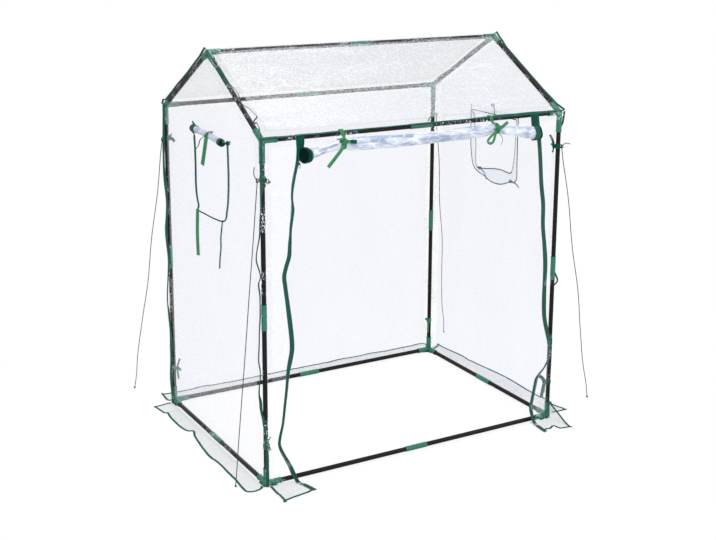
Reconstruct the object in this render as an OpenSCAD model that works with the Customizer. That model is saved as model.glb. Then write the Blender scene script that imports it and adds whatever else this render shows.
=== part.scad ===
// Walk-in foil greenhouse: push-together steel tube frame in moulded fittings,
// under a clear film cover with a roll-up door, gable windows and ground skirts.
// Built around the middle of the frame, front towards -Y, and moved at the end so
// that the origin is the middle of the whole, guy ropes included, on the ground.

/* [Frame] */
// Distance between the post centres along the ridge
frame_w = 1400; // [1200:10:2400]
// Distance between the front and back post centres
frame_d = 980; // [800:10:1800]
// Height of the eave rails' centre line
eave_h = 1392; // [1200:4:2000]
// Rise of the ridge's centre line over the eaves'
roof_rise = 280; // [160:5:500]

/* [Tubes] */
// Outside diameter of the steel tube
tube_d = 19; // [16:0.5:25]
// Wall of the steel tube
tube_wall = 0.8; // [0.5:0.1:2]
// Play on the radius between a tube and what it is pushed into
fit = 0.2; // [0.1:0.05:0.4]

/* [Moulded fittings] */
// Wall of a fitting's socket
socket_wall = 2.1; // [1.6:0.1:3.5]
// Height of the lip round a socket's mouth
lip = 0.8; // [0.4:0.1:1.5]
// Width of the lip along the socket
lip_len = 5; // [3:0.5:8]
// Reach of a base corner's sockets from its centre
base_arm = 65; // [50:1:110]
// Reach of an eave corner's post socket
eave_post_arm = 85; // [60:1:120]
// Reach of an eave corner's rail and rafter sockets
eave_arm = 60; // [45:1:100]
// Reach of a ridge fitting's sockets
ridge_arm = 50; // [42:1:90]
// Shoulder inside a fitting that stops the tubes
shoulder = 4; // [2:0.5:8]
// Thickness of the webs between sockets
web_t = 2.4; // [1.5:0.1:4]
// Reach of the webs along the sockets
web_leg = 34; // [24:1:42]
// Thickness of the foot plate under a base corner
foot_t = 3; // [2:0.5:5]
// Reach of the foot plate along the rails
foot_leg = 44; // [30:1:48]
// Length of a joining sleeve
sleeve_len = 104; // [60:2:160]
// Wall of a joining sleeve
sleeve_wall = 1.3; // [1:0.1:2]
// Width of the stop ring inside a sleeve
stop_ring = 3; // [2:0.5:6]

/* [Cover] */
// Thickness of the film panels
film_t = 1; // [0.8:0.1:2]
// Thickness of the tape that binds the film
tape_t = 0.8; // [0.5:0.1:1.5]
// Width of the tape on the seams
tape_w = 12; // [8:1:20]
// Width of the tape on hems and window edges
hem_w = 8; // [5:1:12]
// Width of the zip tape beside the doorway
zip_w = 18; // [12:1:26]
// Width of the sewn patch at the top of each zip
patch_w = 38; // [30:1:50]
// Height of that patch
patch_h = 88; // [60:1:120]
// Usual width of the ground skirts
skirt_w = 90; // [60:5:150]
// Width of the film beside the doorway, at its top, from the post's centre line
strip_w = 157; // [120:1:260]
// Length of the zips' sliders
slider_l = 12; // [8:1:20]
// Length of the zips' pulls
pull_l = 34; // [20:1:50]

/* [Door and windows] */
// Diameter of the rolled-up door
door_roll_d = 52; // [40:1:70]
// Diameter of the zip tapes wound up at its ends
door_end_d = 64; // [50:1:90]
// Diameter of the roll where a ribbon pinches it
door_pinch_d = 42; // [30:1:60]
// Drop of the roll below the eave rail's centre line, at its ribbons
door_drop = 33; // [30:1:80]
// How much lower the ends of the roll hang
door_droop = 36; // [0:1:50]
// Sag of the roll between its ribbons
door_sag = 10; // [0:1:20]
// Distance from the post centre to the end of the roll
door_end_inset = 165; // [160:1:240]
// Distance from the post centre to a door ribbon
door_tie_inset = 340; // [300:5:420]
// How far both door ribbons sit to the left of that
door_tie_shift = 30; // [0:1:60]
// Width of a gable window
window_w = 355; // [240:5:420]
// Height of a gable window
window_h = 320; // [240:5:380]
// Height from the window's bottom edge to the eave rail's centre line
window_below_eave = 402; // [390:2:500]
// Distance of a window's middle in front of the gable's middle
window_ahead = 25; // [0:1:40]
// Diameter of the rolled-up window flap
window_roll_d = 36; // [24:1:50]

/* [Ribbons and ropes] */
// Width of the tie ribbons
ribbon_w = 14; // [8:1:20]
// Thickness of the tie ribbons
ribbon_t = 0.8; // [0.6:0.1:1.5]
// Gap between an eave corner's post socket and the ribbon below it
upper_tie_gap = 58; // [5:1:250]
// Gap between a base corner's post socket and the ribbon above it
lower_tie_gap = 82; // [5:1:300]
// Length of the door ribbons' long tails
door_tail = 110; // [40:5:200]
// Length of the window ribbon's long tail
window_tail = 120; // [40:5:200]
// Diameter of the guy ropes
rope_d = 2.6; // [2:0.2:5]
// How far out the longest guy rope stands from its post
guy_reach = 313; // [150:1:600]

/* [Hidden] */
half_w = frame_w / 2;
half_d = frame_d / 2;
tube_r = tube_d / 2;
socket_r = tube_r + fit + socket_wall;
sleeve_r = tube_r + fit + sleeve_wall;
core_r = socket_r + lip;          // ball where a fitting's sockets meet
seat = core_r + shoulder;         // from a fitting's centre to the end of a pushed-in tube
base_h = core_r;                  // height of the base rails' centre line
slope = atan2(roof_rise, half_d);
rafter_len = norm([half_d, roof_rise]);
up_rafter = [0, cos(slope), sin(slope)];
cut = 1;                          // overrun of a cutting body
knot_r = ribbon_w * 3 / 7;        // a knotted ribbon
rope_r = rope_d / 2;
upper_tie_h = eave_h - eave_post_arm - upper_tie_gap - ribbon_w / 2;
lower_tie_h = base_h + base_arm + lower_tie_gap + ribbon_w / 2;

// the film lies on the fittings' lips: its inner faces, then its outer faces
film_x = half_w + core_r;
film_y = half_d + core_r;
skin_x = film_x + film_t;
skin_y = film_y + film_t;

// underside of the roof film at a distance y from the ridge's plane
function roof_z(y) = eave_h + (half_d - abs(y)) * tan(slope) + core_r / cos(slope);

// doorway: the free edge of the film beside it as [share of the eave height, share of strip_w
// in from the post's centre line], from the top down
edge_left = [
    [0.997, 1], [0.94, 0.94], [0.87, 0.8], [0.84, 0.75], [0.8, 0.78], [0.72, 0.7],
    [0.67, 0.64], [0.62, 0.52], [0.56, 0.55], [0.5, 0.61], [0.41, 0.69], [0.33, 0.62],
    [0.24, 0.5], [0.16, 0.38], [0.13, 0.29], [0.1, 0.39], [0.05, 0.61], [0, 0.82]
];
edge_right = [
    [0.997, 0.89], [0.92, 0.75], [0.81, 0.59], [0.72, 0.51], [0.65, 0.46], [0.57, 0.42],
    [0.5, 0.38], [0.44, 0.36], [0.38, 0.32], [0.3, 0.19], [0.25, 0.11], [0.2, 0.13],
    [0.16, 0.32], [0.14, 0.51], [0.11, 0.59], [0.05, 0.64], [0, 0.7]
];

// skirt hems as [share of the half length of the wall, share of the skirt's width]
hem_left = [
    [-0.99, 0.08], [-1.03, 0.26], [-1.04, 0.56], [-1.02, 0.84], [-0.94, 0.9], [-0.5, 0.8],
    [-0.23, 0.88], [0.15, 0.65], [0.28, 0.47], [0.33, 0.74], [0.61, 0.85], [0.79, 0.73],
    [0.8, 0.86], [0.98, 1], [1, 0.1]
];
hem_right = [
    [-0.94, 0.5], [-0.95, 1.3], [-0.79, 1.05], [-0.74, 1.2], [-0.4, 1.22], [0.01, 1.32],
    [0.58, 1.07], [1.1, 0.96], [1.02, 0.3]
];
hem_back = [
    [-0.99, 0.2], [-1.03, 0.32], [-1.02, 1.28], [-0.97, 1.12], [-0.5, 1.04], [0, 1.1], [0.5, 1.02],
    [0.98, 1.08], [1.05, 0.68], [1.0, 0.1]
];
// front flaps as [share of strip_w in from the post's centre line, share of skirt_w out]
flap_left = [
    [0.08, 0], [0.05, 1.57], [0.79, 1.31], [0.82, 1.24], [0.99, 1.27], [0.82, 0]
];
flap_right = [
    [-0.03, 0], [-0.16, 1.4], [0.1, 1.34], [0.18, 1.25], [0.22, 0.92], [0.43, 1.1], [0.54, 1.04],
    [0.73, 1.28], [0.68, 0.6], [0.64, 0]
];

// window outline as shares of its half width and its height, from the bottom edge
window_shape = [
    [0.78, 0], [0.8, 0.06], [0.95, 0.28], [0.97, 0.74], [1, 1], [-0.97, 1], [-1, 0.5],
    [-0.94, 0.2], [-0.64, 0.03]
];
// the right window is a little smaller, and its closed flap hangs over it with a rounded foot
closed_shape = [
    [0.69, 0.16], [0.91, 0.2], [0.94, 0.56], [1.05, 1], [-0.8, 1], [-0.76, 0.55], [-0.7, 0.3],
    [-0.6, 0.21], [-0.11, 0.22]
];
flap_shape = [
    [1.2, 1.08], [1.2, 0.55], [1.17, 0.36], [1.09, 0.19], [0.9, 0.1], [0.53, 0.05], [0.26, 0],
    [-0.15, 0], [-0.58, 0.08], [-0.84, 0.13], [-0.86, 0.4], [-0.88, 1.08]
];
window_y = -window_ahead;
window_z = eave_h - window_below_eave;

// foot of each guy rope: its side along X and Y, then shares of guy_reach out from its post
rope_feet = [[-1, -1, 0.35, -0.17], [-1, 1, 0.33, 0.82], [1, -1, 1, -0.3], [1, 1, 0.74, 0.66]];
// run of each rope as [share of the way down, share of guy_reach that it wavers aside]
rope_run = [
    [0.06, 0], [0.2, 0.022], [0.38, 0.006], [0.55, 0.029], [0.7, 0.003], [0.85, -0.013],
    [0.94, 0.006]
];

// the whole is moved so that the origin is the middle of its box
box_x = [-half_w - rope_feet[0][2] * guy_reach - rope_r, half_w + rope_feet[2][2] * guy_reach + rope_r];
box_y = [-skin_y - flap_left[1][1] * skirt_w, half_d + rope_feet[1][3] * guy_reach + rope_r];
middle = [(box_x[0] + box_x[1]) / 2, (box_y[0] + box_y[1]) / 2, 0];

SIDES = [[-1, -1, "front_left"], [1, -1, "front_right"], [-1, 1, "back_left"], [1, 1, "back_right"]];

$fn = 48;

// ---------- placing ----------

// turns +Z into direction v
module towards(v) {
    rotate([0, acos(v.z / norm(v)), atan2(v.y, v.x)])
        children();
}

// from a shape drawn at the front left to the corner on side [sx, sy]
module corner(s) {
    mirror([s[0] > 0 ? 1 : 0, 0, 0])
        mirror([0, s[1] > 0 ? 1 : 0, 0])
            children();
}

// stands a drawing of [y, z] up in a gable plane, growing by t away from x = 0
module gable_plane(side, x, t) {
    translate([side > 0 ? x : -x - t, 0, 0])
        rotate([90, 0, 90])
            linear_extrude(t)
                children();
}

// stands a drawing of [x, z] up across the front or back, growing by t away from y = 0
module wall_plane(side, y, t) {
    translate([0, side > 0 ? y + t : -y, 0])
        rotate([90, 0, 0])
            linear_extrude(t)
                children();
}

// ---------- steel tubes ----------

module tube(length) {
    difference() {
        cylinder(d = tube_d, h = length);
        translate([0, 0, -cut])
            cylinder(d = tube_d - 2 * tube_wall, h = length + 2 * cut);
    }
}

// a member between two fittings' centres, as one tube or as two that meet in a sleeve
module member(length, sections = 2) {
    color([0.13, 0.12, 0.13]) {
        if (sections == 1) {
            translate([0, 0, seat])
                tube(length - 2 * seat);
        } else {
            piece = (length - stop_ring) / 2 - seat;
            translate([0, 0, seat])
                tube(piece);
            translate([0, 0, length - seat - piece])
                tube(piece);
        }
    }
}

module post(s) {
    corner(s)
        translate([-half_w, -half_d, base_h])
            member(eave_h - base_h);
}

module rail_x(y, z) {
    translate([-half_w, y, z])
        rotate([0, 90, 0])
            member(frame_w);
}

module base_rail_side(side) {
    translate([side * half_w, -half_d, base_h])
        rotate([-90, 0, 0])
            member(frame_d);
}

module rafter(s) {
    corner(s)
        translate([-half_w, -half_d, eave_h])
            towards(up_rafter)
                member(rafter_len, sections = 1);
}

// ---------- moulded fittings ----------

// outside of one socket, with the lip round its mouth
module socket(reach) {
    cylinder(r = socket_r, h = reach);
    translate([0, 0, reach - lip_len])
        rotate_extrude()
            polygon([
                [0, 0], [socket_r, 0], [core_r, lip], [core_r, lip_len - lip], [socket_r, lip_len],
                [0, lip_len]
            ]);
}

module socket_bore(reach) {
    translate([0, 0, seat])
        cylinder(r = tube_r + fit, h = reach - seat + cut);
}

// web between two sockets, its free edge drawn in towards the corner
module web(u, v) {
    across = v - (u * v) * u;
    w = across / norm(across);
    n = cross(u, w);
    tip = [v * u, v * w] * web_leg;
    bend = ([1, 0] * web_leg + tip) * 0.3;
    steps = 5;
    edge = [for (i = [0:steps]) let (a = i / steps)
        (1 - a) * (1 - a) * [web_leg, 0] + 2 * a * (1 - a) * bend + a * a * tip];
    multmatrix([[u.x, w.x, n.x, 0], [u.y, w.y, n.y, 0], [u.z, w.z, n.z, 0], [0, 0, 0, 1]])
        translate([0, 0, -web_t / 2])
            linear_extrude(web_t)
                polygon(concat([[0, 0]], edge));
}

// a fitting with a socket for each [direction, reach], webs between them and bores in them
module fitting(sockets) {
    color([0.12, 0.43, 0.33])
        difference() {
            union() {
                sphere(r = core_r);
                for (s = sockets)
                    towards(s[0])
                        socket(s[1]);
                for (i = [0:len(sockets) - 2])
                    for (j = [i + 1:len(sockets) - 1])
                        web(sockets[i][0], sockets[j][0]);
                children();
            }
            for (s = sockets)
                towards(s[0])
                    socket_bore(s[1]);
        }
}

// flat plate that the corner stands on
module foot_plate() {
    translate([0, 0, -base_h])
        linear_extrude(foot_t)
            polygon([
                [-core_r, 0], [0, -core_r], [foot_leg, -core_r], [foot_leg, 0], [core_r, core_r],
                [0, foot_leg], [-core_r, foot_leg]
            ]);
}

module base_corner(s) {
    corner(s)
        translate([-half_w, -half_d, base_h])
            fitting([[[1, 0, 0], base_arm], [[0, 1, 0], base_arm], [[0, 0, 1], base_arm]])
                foot_plate();
}

module eave_corner(s) {
    corner(s)
        translate([-half_w, -half_d, eave_h])
            fitting([[[0, 0, -1], eave_post_arm], [[1, 0, 0], eave_arm], [up_rafter, eave_arm]]);
}

module ridge_fitting(side) {
    down_front = [0, -cos(slope), -sin(slope)];
    down_back = [0, cos(slope), -sin(slope)];
    translate([side * half_w, 0, eave_h + roof_rise])
        fitting([[[-side, 0, 0], ridge_arm], [down_front, ridge_arm], [down_back, ridge_arm]]);
}

// joining sleeve, along Z about its stop ring
module sleeve() {
    color([0.12, 0.43, 0.33])
        rotate_extrude()
            polygon([
                [tube_r - tube_wall, -stop_ring / 2], [tube_r + fit, -stop_ring / 2],
                [tube_r + fit, -sleeve_len / 2], [sleeve_r - lip / 2, -sleeve_len / 2],
                [sleeve_r, lip - sleeve_len / 2], [sleeve_r, sleeve_len / 2 - lip],
                [sleeve_r - lip / 2, sleeve_len / 2], [tube_r + fit, sleeve_len / 2],
                [tube_r + fit, stop_ring / 2], [tube_r - tube_wall, stop_ring / 2]
            ]);
}

module tube_sleeves() {
    for (s = SIDES)
        translate([s[0] * half_w, s[1] * half_d, (base_h + eave_h) / 2])
            sleeve();
    for (at = concat(
        [for (side = [-1, 1], z = [base_h, eave_h]) [side * half_d, z]],
        [[0, eave_h + roof_rise]]
    ))
        translate([0, at[0], at[1]])
            rotate([0, 90, 0])
                sleeve();
    for (side = [-1, 1])
        translate([side * half_w, 0, base_h])
            rotate([90, 0, 0])
                sleeve();
}

// ---------- film cover ----------

module clear_film() {
    color([0.86, 0.9, 0.95, 0.35])
        children();
}

module gable_outline() {
    polygon([
        [-film_y, 0], [film_y, 0], [film_y, roof_z(film_y)], [0, roof_z(0)],
        [-film_y, roof_z(film_y)]
    ]);
}

function window_points(shape) =
    [for (p = shape) [window_y + p[0] * window_w / 2, window_z + p[1] * window_h]];

module gable_film(side) {
    clear_film()
        gable_plane(side, film_x, film_t)
            difference() {
                gable_outline();
                polygon(window_points(side < 0 ? window_shape : closed_shape));
            }
}

// both slopes in one sheet, bent over the ridge
module roof_film() {
    rise = film_t / cos(slope);
    clear_film()
        translate([-skin_x, 0, 0])
            rotate([90, 0, 90])
                linear_extrude(2 * skin_x)
                    polygon([
                        [-skin_y, roof_z(skin_y)], [0, roof_z(0)], [skin_y, roof_z(skin_y)],
                        [skin_y, roof_z(skin_y) + rise], [0, roof_z(0) + rise],
                        [-skin_y, roof_z(skin_y) + rise]
                    ]);
}

module back_film() {
    clear_film()
        wall_plane(1, film_y, film_t)
            polygon([
                [-skin_x, 0], [skin_x, 0], [skin_x, roof_z(skin_y)], [-skin_x, roof_z(skin_y)]
            ]);
}

function edge_points(edge, side, inset = 0) =
    [for (p = edge) [side * (half_w - p[1] * strip_w + inset), p[0] * eave_h]];

module front_film(side, edge) {
    top = roof_z(skin_y);
    clear_film()
        wall_plane(-1, film_y, film_t)
            polygon(concat(
                [[side * skin_x, 0], [side * skin_x, top], [side * (half_w - edge[0][1] * strip_w), top]],
                edge_points(edge, side)
            ));
}

// strip of the door that is left flat, from the eave down behind the roll
module door_header() {
    left = -half_w + edge_left[0][1] * strip_w;
    right = half_w - edge_right[0][1] * strip_w;
    foot = eave_h - door_drop - door_sag;
    clear_film()
        wall_plane(-1, film_y, film_t)
            polygon([
                [left, roof_z(skin_y)], [right, roof_z(skin_y)], [right, foot + tape_w],
                [right - tape_w, foot], [left + tape_w, foot], [left, foot + tape_w]
            ]);
}

// the rolled door sags a little between its ribbons, and its ends hang down
door_roll_y = -(skin_y + tape_t + ribbon_t + door_end_d / 2);
door_roll_z = eave_h - door_drop;
door_tie_reach = half_w - door_tie_inset;
door_end_x = half_w - door_end_inset;
function door_tie_x(side) = side * door_tie_reach - door_tie_shift;
function door_hang(x) =
    x < door_tie_x(-1) ? -door_droop * (door_tie_x(-1) - x) / (door_tie_x(-1) + door_end_x)
    : x > door_tie_x(1) ? -door_droop * (x - door_tie_x(1)) / (door_end_x - door_tie_x(1))
    : -door_sag * (1 - pow((x + door_tie_shift) / door_tie_reach, 2));

// half of the roll on one side of its middle, as [place along X, radius]
function door_swell(side) = let (
    tie = door_tie_x(side),
    end = side * door_end_x,
    r = door_roll_d / 2,
    pinch_r = door_pinch_d / 2
) [
    [tie - side * ribbon_w * 8, r],
    [tie - side * ribbon_w * 5, r],
    [tie - side * ribbon_w * 2, r - (r - pinch_r) / 5],
    [tie - side * ribbon_w * 0.6, pinch_r],
    [tie + side * ribbon_w * 0.6, pinch_r],
    [(tie + end) / 2, pinch_r * 0.9],
    [(tie + 3 * end) / 4, pinch_r],
    [end, r]
];

// end of a roll, its tape lapped over the film, the tape's layers showing as rings
module roll_end(r, t) {
    rings = 3;
    groove = t / 9;
    lap = t / 4;
    difference() {
        translate([0, 0, -lap])
            cylinder(r = r, h = t + lap);
        for (i = [1:rings])
            translate([0, 0, t - groove])
                difference() {
                    cylinder(r = r * (i - 0.2) / rings, h = groove + cut);
                    translate([0, 0, -cut])
                        cylinder(r = r * (i - 0.6) / rings, h = groove + 3 * cut);
                }
    }
}

module door_roll() {
    left = door_swell(-1);
    right = door_swell(1);
    places = concat(
        [for (i = [len(left) - 1:-1:0]) left[i]],
        [[-door_tie_shift, door_roll_d / 2]],
        right
    );
    color([0.8, 0.85, 0.92])
        translate([0, door_roll_y, door_roll_z]) {
            swept([for (p = places) [p[0], 0, door_hang(p[0])]], [for (p = places) p[1]], 20);
            for (side = [-1, 1]) {
                dip = atan2(door_droop, door_end_x - side * door_tie_x(side));
                translate([side * door_end_x, 0, door_hang(side * door_end_x)])
                    rotate([0, side * (90 + dip), 0])
                        roll_end(door_end_d / 2, zip_w);
            }
        }
}

window_roll_x = -(skin_x + ribbon_t + window_roll_d / 2);
window_roll_z = window_z + window_h + window_roll_d / 2;

module window_roll() {
    length = window_w * 1.06;
    color([0.8, 0.85, 0.92])
        translate([window_roll_x, window_y + length / 2, window_roll_z])
            rotate([90, 0, 0]) {
                cylinder(d = window_roll_d, h = length);
                translate([0, 0, length])
                    roll_end(window_roll_d / 2 + lip, tape_w);
                mirror([0, 0, 1])
                    roll_end(window_roll_d / 2 + lip, tape_w);
            }
}

module window_flap() {
    clear_film()
        gable_plane(1, skin_x, film_t)
            polygon(window_points(flap_shape));
}

// ---------- ground skirts ----------

function hem_points(hem, half, wall) =
    [for (p = hem) [p[0] * half, wall + p[1] * skirt_w]];

// a skirt drawn as [along the wall, out from it], its inner edge on the wall
module skirt_outline(hem, half, wall) {
    points = hem_points(hem, half, wall);
    last = points[len(points) - 1];
    polygon(concat([[points[0][0], wall]], points, [[last[0], wall]]));
}

module skirt_side_shape(side) {
    mirror([side < 0 ? 1 : 0, 0, 0])
        mirror([1, -1, 0])
            skirt_outline(side < 0 ? hem_left : hem_right, half_d, skin_x);
}

module skirt_back_shape() {
    skirt_outline(hem_back, half_w, skin_y);
}

module flap_shape_2d(side) {
    polygon([
        for (p = side < 0 ? flap_left : flap_right)
            [side * (half_w - p[0] * strip_w), -skin_y - p[1] * skirt_w]
    ]);
}

module skirt_sheet() {
    clear_film()
        linear_extrude(film_t)
            children();
}

// ---------- tape bindings ----------

module binding() {
    color([0.1, 0.42, 0.3])
        children();
}

function unit(v) = v / norm(v);

// tape of width w inside the edge of a flat shape
module inner_tape(w) {
    difference() {
        children();
        offset(delta = -w)
            children();
    }
}

// tape round each gable's corners and rakes, and along the front eave on the roof
module seam_bindings() {
    low = roof_z(film_y) - tape_w;
    for (side = [-1, 1])
        binding()
            gable_plane(side, skin_x, tape_t)
                difference() {
                    gable_outline();
                    polygon([
                        [-film_y + tape_w, -cut], [film_y - tape_w, -cut],
                        [film_y - tape_w, low], [0, roof_z(0) - tape_w / cos(slope)],
                        [-film_y + tape_w, low]
                    ]);
                }
    binding()
        translate([0, -skin_y, roof_z(skin_y) + film_t / cos(slope)])
            rotate([slope, 0, 0])
                translate([-skin_x, 0, 0])
                    cube([2 * skin_x, tape_w, tape_t]);
}

module zip_tape(side, edge) {
    points = edge_points(edge, side);
    inner = edge_points(edge, side, zip_w);
    last = len(points) - 1;
    binding()
        wall_plane(-1, skin_y, tape_t) {
            polygon(concat(points, [for (i = [last:-1:0]) inner[i]]));
            translate([side * (half_w - edge[0][1] * strip_w), eave_h * edge[0][0] - patch_h])
                scale([side * patch_w / 2, patch_h])
                    polygon([[1, 1], [-1, 1], [-0.9, 0.5], [-0.1, 0], [0.9, 0]]);
        }
    // slider and pull of the zip, under the patch
    slider_z = edge[0][0] * eave_h - patch_h - zip_w;
    color([0.15, 0.15, 0.15])
        translate([
            side * (half_w - lookup(slider_z / eave_h, edge) * strip_w + zip_w / 2),
            -skin_y - tape_t,
            slider_z
        ]) {
            translate([-slider_l / 3, -slider_l / 4, 0])
                cube([slider_l * 2 / 3, slider_l / 4, slider_l]);
            translate([-pull_l / 14, -slider_l / 4 - pull_l / 17, slider_l * 2 / 3 - pull_l])
                cube([pull_l / 7, pull_l / 17, pull_l]);
        }
}

module zip_tapes() {
    zip_tape(-1, edge_left);
    zip_tape(1, edge_right);
}

// hem tape on a skirt, all round but along the wall
module hem_tape() {
    translate([0, 0, film_t])
        linear_extrude(tape_t)
            difference() {
                inner_tape(hem_w)
                    children();
                square([2 * (skin_x + hem_w), 2 * (skin_y + hem_w)], center = true);
            }
}

// tape on the hems of the skirts and round the windows
module edge_bindings() {
    binding() {
        for (side = [-1, 1]) {
            hem_tape()
                skirt_side_shape(side);
            hem_tape()
                flap_shape_2d(side);
        }
        hem_tape()
            skirt_back_shape();
        gable_plane(-1, skin_x, tape_t)
            difference() {
                offset(delta = hem_w)
                    polygon(window_points(window_shape));
                polygon(window_points(window_shape));
            }
        gable_plane(1, skin_x + film_t, tape_t)
            inner_tape(hem_w)
                polygon(window_points(flap_shape));
    }
}

// ---------- ribbons and ropes ----------

// ribbon round something of radius r along Z, its knot on the side of +X, with two tails
module tie(r, tail_a, tail_b, spread) {
    difference() {
        cylinder(r = r + ribbon_t, h = ribbon_w, center = true);
        cylinder(r = r, h = ribbon_w + 2 * cut, center = true);
    }
    translate([r + knot_r, 0, 0])
        sphere(r = knot_r);
    for (tail = [[tail_a, spread], [tail_b, -spread]])
        translate([r + knot_r, 0, 0])
            rotate([tail[1], 0, 0])
                translate([-ribbon_t / 2, -ribbon_w / 3, -tail[0]])
                    cube([ribbon_t, ribbon_w * 2 / 3, tail[0]]);
}

module ribbon_ties() {
    color([0.16, 0.5, 0.33]) {
        for (s = SIDES)
            for (h = [upper_tie_h, lower_tie_h])
                translate([s[0] * half_w, s[1] * half_d, h])
                    rotate([0, 0, s[0] < 0 ? -s[1] * 45 : 180 + s[1] * 45])
                        tie(tube_r, ribbon_w * 4, ribbon_w * 3, 28);
        for (side = [-1, 1])
            translate([door_tie_x(side), door_roll_y, door_roll_z])
                rotate([0, 0, -90])
                    rotate([90, 0, 0])
                        rotate([0, 0, 20])
                            tie_on_roll(door_pinch_d / 2, door_tail);
        translate([window_roll_x, window_y + window_w / 5, window_roll_z])
            rotate([0, 0, 180])
                rotate([90, 0, 0])
                    rotate([0, 0, 20])
                        tie_on_roll(window_roll_d / 2, window_tail);
    }
}

// ribbon round a level roll that runs along Z here, knot to +X, tails hanging to -Y
module tie_on_roll(r, tail) {
    difference() {
        cylinder(r = r + ribbon_t, h = ribbon_w, center = true);
        cylinder(r = r, h = ribbon_w + 2 * cut, center = true);
    }
    translate([r + knot_r, 0, 0])
        sphere(r = knot_r);
    for (lean = [0, 1])
        translate([r + knot_r, 0, 0])
            rotate([0, lean * 35, -20])
                translate([-ribbon_t / 2, -tail * (1 - lean / 2), -ribbon_w / 3])
                    cube([ribbon_t, tail * (1 - lean / 2), ribbon_w * 2 / 3]);
}

// a tube through points with a radius at each, as one closed body
module swept(points, radii, sides = 8) {
    last = len(points) - 1;
    rings = [for (i = [0:last]) let (
        along = unit(points[min(i + 1, last)] - points[max(i - 1, 0)]),
        u = unit(cross(along, [0.6, 0.8, 0])),
        w = cross(along, u)
    ) [for (k = [0:sides - 1]) points[i] + radii[i] * (cos(360 * k / sides) * u + sin(360 * k / sides) * w)]];
    skin = [for (i = [0:last - 1], k = [0:sides - 1]) let (
        a = i * sides + k,
        b = i * sides + (k + 1) % sides
    ) [a, a + sides, b + sides, b]];
    ends = [[for (k = [0:sides - 1]) k], [for (k = [sides - 1:-1:0]) last * sides + k]];
    polyhedron([for (ring = rings) each ring], concat(skin, ends));
}

// guy rope from a knot on the corner tape down to the ground
module guy_rope(foot) {
    side = foot[0];
    start = [side * (skin_x + tape_t + knot_r), foot[1] * half_d, upper_tie_h];
    end = [side * (half_w + foot[2] * guy_reach), foot[1] * (half_d + foot[3] * guy_reach), rope_r];
    run = end - start;
    aside = unit([run.y, -run.x, 0]);
    knot = [[0.002, 0.4], [0.005, 0.9], [0.009, 0.9], [0.012, 0.4]];
    points = concat(
        [start],
        [for (k = knot) start + k[0] * run],
        [for (p = rope_run) start + p[0] * run + p[1] * guy_reach * aside],
        [end]
    );
    radii = concat(
        [knot_r * 0.3],
        [for (k = knot) knot_r * k[1]],
        [for (p = rope_run) rope_r],
        [rope_r]
    );
    color([0.2, 0.2, 0.2])
        swept(points, radii);
}

module guy_ropes() {
    for (foot = rope_feet)
        guy_rope(foot);
}

// ---------- nodes ----------

module place() {
    translate(-middle)
        children();
}

place() {
    for (s = SIDES) {
        post(s);
        rafter(s);
        base_corner(s);
        eave_corner(s);
    }
    rail_x(-half_d, base_h);  // base_rail_front
    rail_x(half_d, base_h);  // base_rail_back
    base_rail_side(-1);  // base_rail_left
    base_rail_side(1);  // base_rail_right
    rail_x(-half_d, eave_h);  // eave_rail_front
    rail_x(half_d, eave_h);  // eave_rail_back
    rail_x(0, eave_h + roof_rise);  // ridge_rail
    ridge_fitting(-1);  // ridge_fitting_left
    ridge_fitting(1);  // ridge_fitting_right
    tube_sleeves();
    gable_film(-1);  // gable_film_left
    gable_film(1);  // gable_film_right
    roof_film();
    back_film();
    front_film(-1, edge_left);  // front_film_left
    front_film(1, edge_right);  // front_film_right
    door_header();
    door_roll();
    window_roll();  // window_roll_left
    window_flap();  // window_flap_right
    skirt_sheet() skirt_side_shape(-1);  // skirt_left
    skirt_sheet() skirt_side_shape(1);  // skirt_right
    skirt_sheet() skirt_back_shape();  // skirt_back
    for (side = [-1, 1])  // skirt_front
            skirt_sheet() flap_shape_2d(side);
    seam_bindings();
    zip_tapes();
    edge_bindings();
    ribbon_ties();
    guy_ropes();
}
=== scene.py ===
import math

import bmesh
import bpy
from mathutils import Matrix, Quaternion, Vector, noise


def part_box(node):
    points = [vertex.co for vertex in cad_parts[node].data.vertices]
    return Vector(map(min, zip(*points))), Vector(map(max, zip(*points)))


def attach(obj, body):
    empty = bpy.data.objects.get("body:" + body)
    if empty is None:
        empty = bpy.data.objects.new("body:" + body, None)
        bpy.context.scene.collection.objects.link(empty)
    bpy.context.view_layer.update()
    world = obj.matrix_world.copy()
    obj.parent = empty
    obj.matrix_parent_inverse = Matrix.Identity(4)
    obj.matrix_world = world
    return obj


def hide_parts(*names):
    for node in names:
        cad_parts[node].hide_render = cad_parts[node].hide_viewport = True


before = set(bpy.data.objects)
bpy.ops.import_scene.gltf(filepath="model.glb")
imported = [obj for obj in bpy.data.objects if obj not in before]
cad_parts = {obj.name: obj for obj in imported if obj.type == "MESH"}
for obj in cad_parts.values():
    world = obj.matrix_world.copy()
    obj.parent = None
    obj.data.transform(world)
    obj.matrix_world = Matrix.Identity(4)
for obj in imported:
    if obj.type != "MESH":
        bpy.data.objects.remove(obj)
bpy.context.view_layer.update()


# ---------------------------------------------------------------- camera
# It stands off the front left corner, above head height, and looks down on the doorway. Places are
# given from the middle of the frame, at ground level.

def middle(node):
    low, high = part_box(node)
    return (low + high) / 2


post_front_left = middle("post_front_left")
post_back_right = middle("post_back_right")
half_w = (post_back_right.x - post_front_left.x) / 2
half_d = (post_back_right.y - post_front_left.y) / 2
footing = Vector((post_front_left.x + half_w, post_front_left.y + half_d, 0))


def at(x, y, z):
    """A place measured from the middle of the frame, at ground level."""
    return footing + Vector((x, y, z))


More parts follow.
